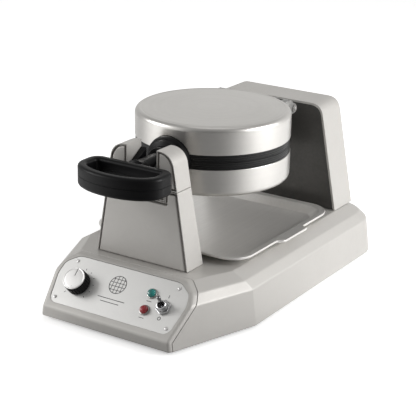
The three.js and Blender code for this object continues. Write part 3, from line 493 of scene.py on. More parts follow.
def build_spun_group():
    """Rings left by spinning: noise that changes with radius and height, and hardly round."""
    tree, source, sink = new_group(
        "Spun Rings",
        [("Vector", "Vector", None), ("Ring Width", "Float", 0.5)],
        [("Height", "Float"), ("Mask", "Float")],
    )
    parts = node(tree, "SeparateXYZ", {0: source.outputs["Vector"]})
    flat = node(tree, "CombineXYZ", {"X": parts.outputs["X"], "Y": parts.outputs["Y"]})
    radius = node(tree, "VectorMath", {0: flat.outputs[0]}, operation="LENGTH")
    turn = math_node(tree, "ARCTAN2", parts.outputs["Y"], parts.outputs["X"])
    around = math_node(tree, "MULTIPLY", turn, 0.0015)
    place = node(
        tree,
        "CombineXYZ",
        {"X": radius.outputs["Value"], "Y": parts.outputs["Z"], "Z": around},
    )
    scale = math_node(tree, "DIVIDE", 1000.0, source.outputs["Ring Width"])
    rings = noise(tree, place.outputs[0], scale, 3.0, Roughness=0.65)
    broad = noise(tree, place.outputs[0], math_node(tree, "DIVIDE", scale, 12.0), 2.0)
    tree.links.new(rings, sink.inputs["Height"])
    tree.links.new(spread(tree, broad, 0.3, 0.7), sink.inputs["Mask"])
    return tree


def build_handling_group():
    """Where hands and cloths have been: broad soft patches with finer flecks in them."""
    tree, source, sink = new_group(
        "Handling Marks",
        [("Vector", "Vector", None), ("Patch Size", "Float", 40.0), ("Fleck Share", "Float", 0.3)],
        [("Mask", "Float")],
    )
    scale = math_node(tree, "DIVIDE", 1000.0, source.outputs["Patch Size"])
    patches = noise(tree, source.outputs["Vector"], scale, 5.0, Distortion=0.6)
    flecks = noise(tree, source.outputs["Vector"], math_node(tree, "MULTIPLY", scale, 18.0), 2.0)
    both = mixed(tree, source.outputs["Fleck Share"], patches, flecks)
    tree.links.new(spread(tree, both, 0.36, 0.64), sink.inputs["Mask"])
    return tree


def build_crevice_group():
    """Painted shade in corners and along joints, from ambient occlusion broken up by noise; the
    same mask also stands for dust and grease settled there.
    """
    tree, source, sink = new_group(
        "Crevice Shade And Dust",
        [("Vector", "Vector", None), ("Reach", "Float", 0.004)],
        [("Mask", "Float")],
    )
    # Painted shade: how closed in each spot is, read from ambient occlusion.
    corner = node(
        tree, "AmbientOcclusion", {"Distance": source.outputs["Reach"]}, samples=6, inside=False
    )
    closed = math_node(tree, "SUBTRACT", 1.0, corner.outputs["AO"])
    patchy = noise(tree, source.outputs["Vector"], 140.0, 4.0)
    broken = math_node(tree, "MULTIPLY", closed, spread(tree, patchy, 0.25, 0.7))
    tree.links.new(spread(tree, broken, 0.1, 0.75), sink.inputs["Mask"])
    return tree


def build_wear_group():
    """Edges rubbed bright, from how sharply the surface turns, broken up by noise."""
    tree, source, sink = new_group(
        "Edge Wear",
        [("Vector", "Vector", None), ("Start", "Float", 0.53), ("End", "Float", 0.62)],
        [("Mask", "Float")],
    )
    turn = node(tree, "NewGeometry").outputs["Pointiness"]
    rubbed = spread(tree, turn, source.outputs["Start"], source.outputs["End"], "LINEAR")
    patchy = noise(tree, source.outputs["Vector"], 220.0, 4.0)
    broken = math_node(tree, "MULTIPLY", rubbed, spread(tree, patchy, 0.35, 0.6))
    tree.links.new(broken, sink.inputs["Mask"])
    return tree


FLOOR_WHITE = 0.94
FLOOR_GLOW = 0.47
SKY_WHITE = 1.05
SKY_OVERHEAD = 0.36
# How bright the studio is at each bearing from the object: 0 and 1 face the rear, 0.5 the front.
STUDIO_SWEEP = (
    (0.00, 0.70), (0.09, 0.80), (0.19, 0.55), (0.26, 0.30), (0.31, 0.80), (0.36, 1.00),
    (0.42, 1.00), (0.47, 0.25), (0.60, 0.13), (0.67, 0.28), (0.72, 0.55), (0.83, 0.85),
    (1.00, 0.80),
)


def build_studio_group():
    """The studio's brightness round the object: white sheets with dark gaps between them."""
    tree, source, sink = new_group(
        "Studio Sweep", [("Vector", "Vector", None)], [("Brightness", "Float")]
    )
    parts = node(tree, "SeparateXYZ", {0: source.outputs["Vector"]})
    forward = math_node(tree, "MULTIPLY", parts.outputs["Y"], -1.0)
    bearing = math_node(tree, "ARCTAN2", parts.outputs["X"], forward)
    share = math_node(tree, "MULTIPLY_ADD", bearing, 1 / math.tau)
    share.node.inputs[2].default_value = 0.5
    ramp = node(tree, "ValToRGB", {0: share})
    stops = ramp.color_ramp.elements
    while len(stops) < len(STUDIO_SWEEP):
        stops.new(0.5)
    for stop, (place, level) in zip(stops, STUDIO_SWEEP):
        stop.position = place
        stop.color = (level, level, level, 1.0)
    ramp.color_ramp.interpolation = "B_SPLINE"
    tree.links.new(ramp.outputs["Color"], sink.inputs["Brightness"])
    return tree


GROUPS = {}
GROUP_BUILDERS = {
    "studio": build_studio_group,
    "grain": build_grain_group,
    "brush": build_brush_group,
    "spun": build_spun_group,
    "handling": build_handling_group,
    "crevice": build_crevice_group,
    "wear": build_wear_group,
}
WIDTH_INPUT = {"grain": "Grain Size", "brush": "Line Width", "spun": "Ring Width"}


def use_group(tree, name, vector, **inputs):
    if name not in GROUPS:
        GROUPS[name] = GROUP_BUILDERS[name]()
    placed_group = tree.nodes.new("ShaderNodeGroup")
    placed_group.node_tree = GROUPS[name]
    tree.links.new(vector, placed_group.inputs["Vector"])
    for label, value in inputs.items():
        placed_group.inputs[label.replace("_", " ")].default_value = value
    return placed_group


def surface(
    name,
    colour,
    metallic,
    roughness,
    pattern="grain",
    width=0.4,
    stretch=(1, 1, 1),
    centre=(0, 0, 0),
    depth=0.02,
    tint=0.9,
    rough_change=0.1,
    patch=45.0,
    corner_shade_and_dust=0.35,
    wear=0.0,
    worn=(0.7, 0.69, 0.67),
    coat=0.0,
    coat_roughness=0.1,
    pattern_tint=0.0,
    **shader_values,
):
    """A finish: its colour shifts between two tones in broad patches, its roughness follows
    the same patches and its fine pattern, and the pattern stands up as a bump of that depth in
    millimetres. Painted shade darkens corners, from ambient occlusion, and the same mask dulls
    their roughness as settled dust; edges may be rubbed."""
    material = bpy.data.materials.new(name)
    material.use_nodes = True
    tree = material.node_tree
    shader = tree.nodes["Principled BSDF"]
    plain = node(tree, "TexCoord").outputs["Object"]
    mapping = node(
        tree,
        "Mapping",
        {
            "Vector": plain,
            "Location": [-c * share for c, share in zip(centre, stretch)],
            "Scale": stretch,
        },
    )
    fine = use_group(tree, pattern, mapping.outputs[0], **{WIDTH_INPUT[pattern]: width})
    patches = use_group(tree, "handling", plain, Patch_Size=patch)
    shade_and_dust_group = use_group(tree, "crevice", plain)

    def toned(factor, shade, share, lift=0.0):
        """Mixes in the finish's own colour, darkened to a share and lifted towards grey."""
        other = tuple(c * share + lift for c in colour[:3])
        return mixed(tree, factor, shade, (*other, 1.0), "RGBA")

    shade = toned(patches.outputs["Mask"], tuple(colour), tint)
    if pattern_tint:
        lined = math_node(tree, "MULTIPLY", fine.outputs["Mask"], pattern_tint)
        shade = toned(lined, shade, 0.55)
    if wear:
        rubbed = use_group(tree, "wear", plain)
        amount = math_node(tree, "MULTIPLY", rubbed.outputs["Mask"], wear)
        shade = mixed(tree, amount, shade, (*worn, 1.0), "RGBA")
    # Painted shade: corners and joints darkened towards a quarter of their colour by the
    # ambient-occlusion mask, which also dulls their roughness as dust.
    shade_and_dust_amount = math_node(tree, "MULTIPLY", shade_and_dust_group.outputs["Mask"], corner_shade_and_dust)
    tree.links.new(toned(shade_and_dust_amount, shade, 0.25, 0.02), shader.inputs["Base Color"])

    patchy = math_node(tree, "MULTIPLY_ADD", patches.outputs["Mask"], rough_change)
    patchy.node.inputs[2].default_value = roughness - rough_change / 2
    grained = math_node(tree, "MULTIPLY_ADD", fine.outputs["Mask"], rough_change * 0.7)
    tree.links.new(patchy, grained.node.inputs[2])
    dulled = math_node(tree, "MULTIPLY_ADD", shade_and_dust_amount, 0.3)
    tree.links.new(grained, dulled.node.inputs[2])
    tree.links.new(dulled, shader.inputs["Roughness"])

    bump = node(
        tree,
        "Bump",
        {"Strength": 0.6, "Distance": depth * MM, "Height": fine.outputs["Height"]},
    )
    tree.links.new(bump.outputs["Normal"], shader.inputs["Normal"])
    shader.inputs["Metallic"].default_value = metallic
    shader.inputs["Coat Weight"].default_value = coat
    shader.inputs["Coat Roughness"].default_value = coat_roughness
    for label, value in shader_values.items():
        shader.inputs[label.replace("_", " ")].default_value = value
    return material


def floor_finish():
    """A white sweep: white where it is seen, and as bright as the studio where it only lights
    the object or shows in it."""
    material = bpy.data.materials.new("studio_floor")
    material.use_nodes = True
    tree = material.node_tree
    shader = tree.nodes["Principled BSDF"]
    place = node(tree, "TexCoord").outputs["Object"]
    level = use_group(tree, "studio", place).outputs["Brightness"]
    fine = use_group(tree, "grain", place, Grain_Size=2.0)
    seen = node(tree, "LightPath").outputs["Is Camera Ray"]
    white = mixed(tree, seen, level, FLOOR_WHITE)
    toned = node(tree, "CombineColor", dict.fromkeys(("Red", "Green", "Blue"), white))
    tree.links.new(toned.outputs[0], shader.inputs["Base Color"])
    tree.links.new(toned.outputs[0], shader.inputs["Emission Color"])
    shader.inputs["Emission Strength"].default_value = FLOOR_GLOW
    bump = node(
        tree, "Bump", {"Strength": 0.2, "Distance": 0.01 * MM, "Height": fine.outputs["Height"]}
    )
    tree.links.new(bump.outputs["Normal"], shader.inputs["Normal"])
    shader.inputs["Roughness"].default_value = 0.7
    return material


FINISHES = {}


def make_finishes(colours):
    """Every finish of the object, by its plain name."""
    # Each finish's corner strength sets both its painted shade in corners and its dust-dulled
    # roughness there.
    steel = tuple(colours.steel)
    FINISHES["paint"] = surface(
        "cast_silver_paint", tuple(colours.paint), 0.25, 0.42, width=0.55, depth=0.05,
        tint=0.97, rough_change=0.06, patch=90.0,
    )
    # The tower's face plate is coloured a dark grey, far darker than the castings.
    FINISHES["face"] = surface(
        "tower_face_dark_grey", tuple(colours.face), 0.3, 0.34, width=0.55, depth=0.04,
        tint=0.8, rough_change=0.1, patch=60.0, coat=0.15, coat_roughness=0.2,
    )
    FINISHES["drum"] = surface(
        "spun_aluminium", tuple(colours.drum), 1.0, 0.31, pattern="spun", width=0.5,
        centre=AXIS, depth=0.006, tint=0.97, rough_change=0.03, patch=90.0, pattern_tint=0.04,
        corner_shade_and_dust=0.1,
    )
    FINISHES["hinge"] = surface(
        "cast_aluminium", (0.30, 0.295, 0.285, 1.0), 0.8, 0.42, width=0.7, depth=0.05, tint=0.85,
        wear=0.4,
    )
    FINISHES["grid"] = surface(
        "coated_grid", tuple(colours.grid), 0.55, 0.42, width=0.6, depth=0.04, tint=0.7,
        patch=25.0, wear=0.35, worn=(0.16, 0.155, 0.15),
    )
    FINISHES["black"] = surface(
        "moulded_black", tuple(colours.black), 0.0, 0.38, width=0.5, depth=0.02, tint=0.7,
        rough_change=0.08, patch=40.0, wear=0.1, worn=(0.03, 0.03, 0.03),
        Specular_IOR_Level=0.16,
    )
    FINISHES["band"] = surface(
        "band_black", tuple(colours.band), 0.0, 0.34, pattern="spun", width=0.5, centre=AXIS,
        depth=0.01, tint=0.7, rough_change=0.06, patch=40.0, Specular_IOR_Level=0.4,
    )
    FINISHES["rubber"] = surface(
        "foot_rubber", (0.016, 0.016, 0.016, 1.0), 0.0, 0.75, width=0.8, depth=0.06, corner_shade_and_dust=0.6,
    )
    FINISHES["tray"] = surface(
        "brushed_tray_steel", steel, 0.65, 0.34, pattern="brush", width=0.4,
        stretch=(1.0, 0.02, 1.0), depth=0.006, tint=0.97, rough_change=0.04, pattern_tint=0.07,
        corner_shade_and_dust=0.15,
    )
    FINISHES["steel"] = surface(
        "plain_steel", (0.5, 0.49, 0.475, 1.0), 1.0, 0.33, pattern="brush", width=0.4,
        stretch=(0.05, 1.0, 1.0), depth=0.02, tint=0.85, wear=0.2,
    )
    FINISHES["zinc"] = surface(
        "zinc_plate", (0.46, 0.46, 0.45, 1.0), 0.85, 0.45, width=3.0, depth=0.03, tint=0.75,
        patch=12.0, rough_change=0.2,
    )
    FINISHES["panel"] = surface(
        "panel_silver", tuple(colours.panel), 0.55, 0.38, width=0.28, depth=0.012, tint=0.97,
        rough_change=0.05, patch=50.0, corner_shade_and_dust=0.5,
    )
    FINISHES["cap"] = surface(
        "knob_silver", (0.80, 0.79, 0.78, 1.0), 0.6, 0.3, pattern="brush", width=0.3,
        stretch=(1.0, 0.05, 1.0), depth=0.01, tint=0.95, pattern_tint=0.05,
    )
    FINISHES["chrome"] = surface(
        "bright_chrome", (0.66, 0.66, 0.67, 1.0), 1.0, 0.07, width=1.5, depth=0.004, tint=0.92,
        rough_change=0.06, patch=8.0, corner_shade_and_dust=0.5,
    )
    FINISHES["lever"] = surface(
        "dark_chrome", (0.30, 0.30, 0.31, 1.0), 1.0, 0.1, width=1.5, depth=0.004, tint=0.8,
        rough_change=0.04, patch=8.0, corner_shade_and_dust=0.3,
    )
    FINISHES["brass"] = surface(
        "bearing_brass", (0.44, 0.29, 0.10, 1.0), 1.0, 0.36, pattern="brush", width=0.4,
        depth=0.02, tint=0.75,
    )
    FINISHES["print"] = surface(
        "panel_print", (0.035, 0.036, 0.038, 1.0), 0.0, 0.5, width=0.3, depth=0.01, tint=0.8,
    )
    FINISHES["inner"] = surface(
        "inner_plastic", (0.30, 0.29, 0.26, 1.0), 0.0, 0.6, width=0.6, depth=0.04,
    )
    for key, tone in (("green", colours.green), ("red", colours.red)):
        FINISHES[key] = surface(
            key + "_lens", tuple(tone), 0.0, 0.12, width=1.2, depth=0.02, tint=0.6, patch=4.0,
            rough_change=0.05, corner_shade_and_dust=0.2, coat=1.0, coat_roughness=0.04, Transmission_Weight=0.25,
        )
    FINISHES["floor"] = floor_finish()


# ------------------------------------------------------------------ shapes of the base
LEVELS = (
    # height, half-width at the front, side inset, flare set forward, rear inset
    (0.0, 91.3, 0.0, 0.0, 0.0),
    (LIP_HEIGHT / MM, 89.4, 1.2, 1.0, 1.0),
    ((DECK_Z - EDGE_Z) / MM - 19.8, 96.5, 4.4, 3.0, 5.0),
    ((DECK_Z - EDGE_Z) / MM - 9.5, 91.0, 13.3, 7.0, 13.0),
    ((DECK_Z - EDGE_Z) / MM, 77.0, 28.8, 9.0, 30.0),
)


def base_loop(level, wall, z):
    height, nose, inset, kink, back = level
    half = HALF_WIDTH / MM - inset - wall
    rear = REAR_Y / MM - back - wall
    radius = max(40 - back * 0.4 - wall, 4)
    run = max(0.0, (height * MM - LIP_HEIGHT) * PANEL_RUN / PANEL_RISE) / MM
    nose_y = FRONT_Y / MM + run + wall / math.sin(PANEL_SLOPE)
    right = [(nose - wall, nose_y)]
    right.append((half, FRONT_Y / MM + FLARE_LENGTH / MM - kink + wall / 2))
    right += arc(half - radius, rear - radius, radius, 0, 90, 12)
    return [(x * MM, y * MM, z) for x, y in right + mirrored(right)]


def base_body(name, hollow):
    """The base's casting: levels joined into one skin, inside and out when it is hollow."""
    outer = [base_loop(level, 0, EDGE_Z + level[0] * MM) for level in LEVELS]
    inner = []
    if hollow:
        wall = CAST_WALL / MM
        for index, level in enumerate(LEVELS):
            z = EDGE_Z + level[0] * MM - (CAST_WALL if index == len(LEVELS) - 1 else 0)
            inner.append(base_loop(level, wall, z))
    return lofted(name, inner[::-1] + outer)


def fascia_wedge(name, depth):
    """What lies in front of the panel's back face, which is depth behind its front."""
    start = FRONT_Y + depth
    lip = EDGE_Z + LIP_HEIGHT
    turn = lip + depth * math.tan(PANEL_SLOPE) - depth / math.cos(PANEL_SLOPE)
    reach = 0.12
    outline = [
        (FRONT_Y - 0.05, -0.02),
        (start, -0.02),
        (start, turn),
        (start + reach, turn + reach * math.tan(PANEL_SLOPE)),
        (FRONT_Y - 0.05, turn + reach * math.tan(PANEL_SLOPE)),
    ]
    return prism_x(name, outline, -0.2, 0.2)


def panel_outline(grow, corner):
    """The control panel plate's outline in its own frame, with rounded corners."""
    top = PANEL_LENGTH / MM
    points = [
        (80 + grow * 0.6, PLATE_FROM_LIP / MM - grow),
        (85.5 + grow, 14 - grow * 0.4),
        (91 + grow, top - 30.2),
        (88 + grow, top - 14.7 + grow * 0.5),
        (72 + grow * 0.5, top - PLATE_FROM_DECK / MM + grow),
    ]
    points = points + mirrored(points)
    soft = []
    for index, point in enumerate(points):
        before = Vector(points[index - 1])
        here = Vector(point)
        after = Vector(points[(index + 1) % len(points)])
        to_before = (before - here).normalized()
        to_after = (after - here).normalized()
        pull = min(corner, (before - here).length * 0.45, (after - here).length * 0.45)
        for step in range(5):
            share = step / 4
            a = here + to_before * pull * (1 - share)
            b = here + to_after * pull * share
            soft.append(tuple(a.lerp(b, share) * MM))
    return soft


def plate_prism(name, grow, low, high, corner=5.0):
    loops = [[(x, y, z) for x, y in panel_outline(grow, corner)] for z in (low, high)]
    return on_panel(lofted(name, loops))


class WAFFLE_OT_base(bpy.types.Operator):
    """Builds the base casting and the fascia that carries the control panel"""

    bl_idname = "waffle.base"
    bl_label = "Base"

    def execute(self, context):
        sizes = context.scene.waffle_sizes
        housing = rounded(base_body("base_casting", True), sizes.crease_round, limit=9)
        cord = middle("cord_bushing")
        stepped = [(0, -30), (7.8, -30), (7.8, 0), (9.7, 0), (9.7, 20), (0, 20)]
        mouth = (cord.x, REAR_Y - 2.8 * MM, cord.z)
        hole = turned("cord_hole", scaled(stepped), mouth, (0, 1, 0), 48)
        combined(housing, [fascia_wedge("front_cut", FASCIA_DEPTH + SEAM), hole])
        rounded(housing, 0.5 * MM, limit=50, segments=2)
        finish_piece(smoothed(housing, 25), "base", "paint", "cast_paint", "base_housing")

        fascia = rounded(base_body("panel_fascia", False), sizes.crease_round, limit=9)
        combined(fascia, [fascia_wedge("front_keep", FASCIA_DEPTH)], "INTERSECT")
        recess = plate_prism("recess_cut", 0.3, -1.8 * MM, 0.02)
        combined(fascia, [recess])
        rounded(fascia, 0.7 * MM, limit=40)
        finish_piece(smoothed(fascia, 25), "base", "paint", "cast_paint", "front_fascia")
        return {"FINISHED"}


class WAFFLE_OT_control_plate(bpy.types.Operator):
    """Builds the silver control plate, its rivets and its printed marks"""

    bl_idname = "waffle.control_plate"
    bl_label = "Control Plate"

    def execute(self, context):
        sizes = context.scene.waffle_sizes
        plate = plate_prism("control_plate", 0, PLATE_TOP - 1 * MM, PLATE_TOP)
        rounded(plate, 0.3 * MM, limit=50, segments=2)
        finish_piece(smoothed(plate, 30), "base", "panel", "panel_silver", "control_panel_plate")

        dome = [(0, -4), (0.9, -4), (0.9, 0.3), (2.1, 0.3), (2.05, 0.6), (1.7, 0.95), (1.1, 1.2)]
        dome += [(0.55, 1.28), (0.5, 0.9), (0, 0.9)]
        for place in ("top_left", "top_right", "bottom_left", "bottom_right"):
            spot = PANEL.inverted() @ middle("panel_rivet_" + place)
            rivet = turned("plate_rivet_" + place, scaled(dome), (0, 0, PLATE_TOP), (0, 0, 1), 32)
            on_panel(rivet, spot.x, spot.y)
            smoothed(rivet, 35, even=False)
            finish_piece(rivet, "base", "cap", "plain_steel", "panel_rivet_" + place)

        marks = []
        top = PLATE_TOP + sizes.print_height

        def bar(x, y, half_x, half_y, turn=0.0):
            mark = block("mark", (-half_x, -half_y, PLATE_TOP - 0.1 * MM), (half_x, half_y, top))
            rounded(mark, 0.15 * MM, limit=60, segments=2)
            matrix = PANEL @ Matrix.Translation((x, y, 0)) @ Matrix.Rotation(turn, 4, "Z")
            marks.append(placed(mark, matrix))

        def ring(x, y, outer, inner):
            low = PLATE_TOP - 0.1 * MM
            section = [(outer, low), (outer, top), (inner, top), (inner, low)]
            mark = turned("mark", section, (0, 0, 0), (0, 0, 1), 48, closed=True)
            marks.append(on_panel(mark, x, y))

        for step in range(11):
            angle = math.radians(225 - 27 * step)
            length = 1.5 * MM if step % 5 else 2.4 * MM
            reach = 18.2 * MM + length / 2
            bar(
                KNOB_PLACE[0] + math.cos(angle) * reach,
                KNOB_PLACE[1] + math.sin(angle) * reach,
                length / 2,
                0.35 * MM,
                angle,
            )
        icon = (-6 * MM, PANEL_MIDDLE + 9.5 * MM)
        ring(*icon, 11.5 * MM, 10.7 * MM)
        for step in (-1.5, -0.5, 0.5, 1.5):
            offset = step * 4.6 * MM
            half = math.sqrt((10.9 * MM) ** 2 - offset**2)
            bar(icon[0], icon[1] + offset, half, 0.35 * MM)
            bar(icon[0] + offset, icon[1], 0.35 * MM, half)
        for line in (0, 1):
            bar(icon[0], PANEL_MIDDLE - (9.5 + 4.5 * line) * MM, (19 - 6 * line) * MM, 0.4 * MM)
        bar(TOGGLE_PLACE[0], TOGGLE_PLACE[1] + 14.5 * MM, 0.4 * MM, 2.0 * MM)
        ring(TOGGLE_PLACE[0], TOGGLE_PLACE[1] - 13.5 * MM, 2.2 * MM, 1.5 * MM)
        for spot in (READY_PLACE, POWER_PLACE):
            bar(spot[0], spot[1] - 9.6 * MM, 3.4 * MM, 0.35 * MM)
        printed = smoothed(joined("panel_marks", marks), 30)
        finish_piece(printed, "base", "print", "panel_silver")
        return {"FINISHED"}


class WAFFLE_OT_knob(bpy.types.Operator):
    """Builds the temperature knob: ridged skirt, and silver cap with its index line"""

    bl_idname = "waffle.knob"
    bl_label = "Temperature Knob"

    def execute(self, context):
        sizes = context.scene.waffle_sizes
        ridges = sizes.knob_ridges
        levels = [
            (0.5, 14.3, 0.0), (0.9, 14.9, 0.2), (1.8, 15.0, 0.9), (11.4, 14.6, 0.9),
            (12.4, 14.3, 0.6), (12.9, 13.8, 0.1), (12.9, 13.2, 0.0), (12.2, 12.9, 0.0),
        ]
        loops = []
        for height, radius, depth in levels:
            loop = []
            for i in range(ridges * 8):
                angle = math.tau * i / (ridges * 8)
                wave = 0.5 - 0.5 * math.cos(angle * ridges)
                r = (radius - depth * wave**1.6) * MM
                loop.append((r * math.cos(angle), r * math.sin(angle), height * MM))
            loops.append(loop)
        skirt = on_panel(lofted("knob_skirt", loops), *KNOB_PLACE)
        finish_piece(
            smoothed(skirt, 40), "temperature_dial", "black", "black_phenolic", "temperature_knob"
        )

        profile = [(0, 13.3), (13.2, 13.3), (13.9, 13.5), (13.9, 14.6), (13.7, 14.9), (13.3, 15)]
        profile += [(12.6, 14.95), (12.2, 14.7), (11.6, 14.7), (11.2, 14.85), (0, 14.95)]
        cap = turned("knob_face", scaled(profile), (0, 0, 0), (0, 0, 1), 96)
        groove = block("index_cut", (-0.45 * MM, 3 * MM, 14.4 * MM), (0.45 * MM, 15 * MM, 16 * MM))
        combined(cap, [groove])
        on_panel(cap, *KNOB_PLACE)
        finish_piece(smoothed(cap, 30), "temperature_dial", "cap", "knob_silver", "knob_cap")

        low = (-0.4 * MM, 3.05 * MM, 14.38 * MM)
        index = block("index_mark", low, (0.4 * MM, 13.6 * MM, 14.62 * MM))
        rounded(index, 0.08 * MM, limit=60, segments=2)
        on_panel(index, *KNOB_PLACE)
        finish_piece(index, "temperature_dial", "print", "knob_silver")
        return {"FINISHED"}


class WAFFLE_OT_lamps(bpy.types.Operator):
    """Builds the two indicator lamps: steel bezels and faceted jewel lenses"""

    bl_idname = "waffle.lamps"
    bl_label = "Indicator Lamps"

    def execute(self, context):
        seat = -0.2
        bezel_profile = [
            (3.3, -20), (4.1, -20), (4.1, seat), (6.4, seat), (6.45, seat + 0.5),
            (6.3, seat + 1.0), (5.9, seat + 1.35), (5.5, seat + 1.4), (5.2, seat + 1.2),
            (3.3, seat + 1.2),
        ]
        bezel = turned("lamp_bezel", scaled(bezel_profile), (0, 0, 0), (0, 0, 1), 64, closed=True)
        base = 1.5
        jewel_profile = [
            (0, -8.8), (3, -8.8), (3, base), (5.35, base), (5.4, base + 0.6), (4.9, base + 2.1),
            (3.6, base + 3.4), (1.9, base + 4.1), (0, base + 4.24),
        ]
        lens = turned("lamp_lens", scaled(jewel_profile), (0, 0, 0), (0, 0, 1), 12)
        rounded(lens, 0.12 * MM, limit=14, segments=2)
        rows = (("ready_lamp", READY_PLACE, "green"), ("power_lamp", POWER_PLACE, "red"))
        for lamp, place, finish in rows:
            ring = on_panel(copied(bezel, lamp + "_rim"), *place)
            finish_piece(smoothed(ring, 35), "base", "steel", "black_phenolic", lamp + "_bezel")
            jewel = on_panel(copied(lens, lamp + "_jewel"), *place)
            finish_piece(smoothed(jewel, 12), "base", finish, finish + "_lens", lamp + "_lens")
        bpy.data.objects.remove(bezel)
        bpy.data.objects.remove(lens)
        return {"FINISHED"}


class WAFFLE_OT_toggle(bpy.types.Operator):
    """Builds the power switch: threaded bush with its can, chamfered nut and thick-tipped lever"""

    bl_idname = "waffle.toggle"
    bl_label = "Power Switch"

    def execute(self, context):
        thread = [(0, -5.8), (5.9, -5.8)]
        height = -5.2
        while height < 7.6:
            thread += [(5.9, height), (5.45, height + 0.35)]
            height += 0.7
        thread += [(5.9, 8.2), (5.5, 8.8), (4.9, 9.0), (4.4, 8.9), (4.2, 8.5), (4.2, -2), (0, -2)]
        bush = turned("switch_bush", scaled(thread), (0, 0, 0), (0, 0, 1), 64)
        low = (-7 * MM, -12.5 * MM, -28 * MM)
        can = rounded(block("switch_can", low, (7 * MM, 12.5 * MM, -5.3 * MM)), 0.8 * MM)
        combined(bush, [can], "UNION")
        on_panel(bush, *TOGGLE_PLACE)
        finish_piece(smoothed(bush, 30), "base", "chrome", "bright_chrome", "power_switch_body")

        refine_piece(
            "switch_nut", "toggle_nut", "base", "chrome", "bright_chrome", 0.5 * MM, limit=40
        )

        lever_profile = [
            (0, -2.6), (1.2, -2.4), (2.2, -1.6), (2.6, -0.4), (2.6, 0.4), (2.2, 1.4), (1.7, 2.2),
            (1.45, 3.0), (1.5, 6.0), (1.75, 9.0), (2.15, 12.0), (2.4, 14.2), (2.45, 15.2),
            (2.25, 16.2), (1.7, 16.75), (0.9, 16.97), (0, 17),
        ]
        lever = turned("switch_lever", scaled(lever_profile), (0, 0, 0), (0, 0, 1), 48)
        tilt = Matrix.Rotation(-math.radians(14), 4, "X")
        placed(lever, PANEL @ Matrix.Translation((*TOGGLE_PLACE, 4.5 * MM)) @ tilt)
        smoothed(lever, 60, even=False)
        finish_piece(lever, "power_toggle", "lever", "bright_chrome", "toggle_lever")
        return {"FINISHED"}


class WAFFLE_OT_post(bpy.types.Operator):
    """Rounds the post and yoke castings and builds the black bearing block in the notch"""

    bl_idname = "waffle.post"
    bl_label = "Front Post"

    def execute(self, context):
        sizes = context.scene.waffle_sizes
        for storey in ("post", "yoke"):
            for side in ("front", "rear"):
                name = storey + "_cover_" + side
                cad = storey + "_" + side + "_shell"
                width = sizes.casting_round if side == "rear" else sizes.casting_round * 1.2
                refine_piece(name, cad, "base", "paint", "cast_paint", width)
        refine_piece(
            "bearing_block", "yoke_liner", "base", "black", "black_phenolic", 0.5 * MM, segments=2
        )
        return {"FINISHED"}


class WAFFLE_OT_tower(bpy.types.Operator):
    """Rounds the rear tower's casting and its recessed face plate"""

    bl_idname = "waffle.tower"
    bl_label = "Rear Tower"

    def execute(self, context):
        sizes = context.scene.waffle_sizes
        width = sizes.casting_round
        refine_piece("tower_casting", "rear_tower", "base", "paint", "cast_paint", width)
        refine_piece(
            "tower_face", "tower_face_plate", "base", "face", "face_plate", 0.8 * MM
        )
        return {"FINISHED"}


def flange_cutters(clear):
    """Cylinders that clear the two flanges let into the drum."""
    radius = FLANGE_RADIUS + clear
    reach = 0.02
    made = []
    for side in (-1, 1):
        near = FLANGE_IN - clear
        profile = [(0, near * side), (radius, near * side)]
        profile += [(radius, (DRUM_RADIUS + reach) * side), (0, (DRUM_RADIUS + reach) * side)]
        made.append(turned("flange_cut", profile, AXIS, (0, 1, 0), 96))
    return made


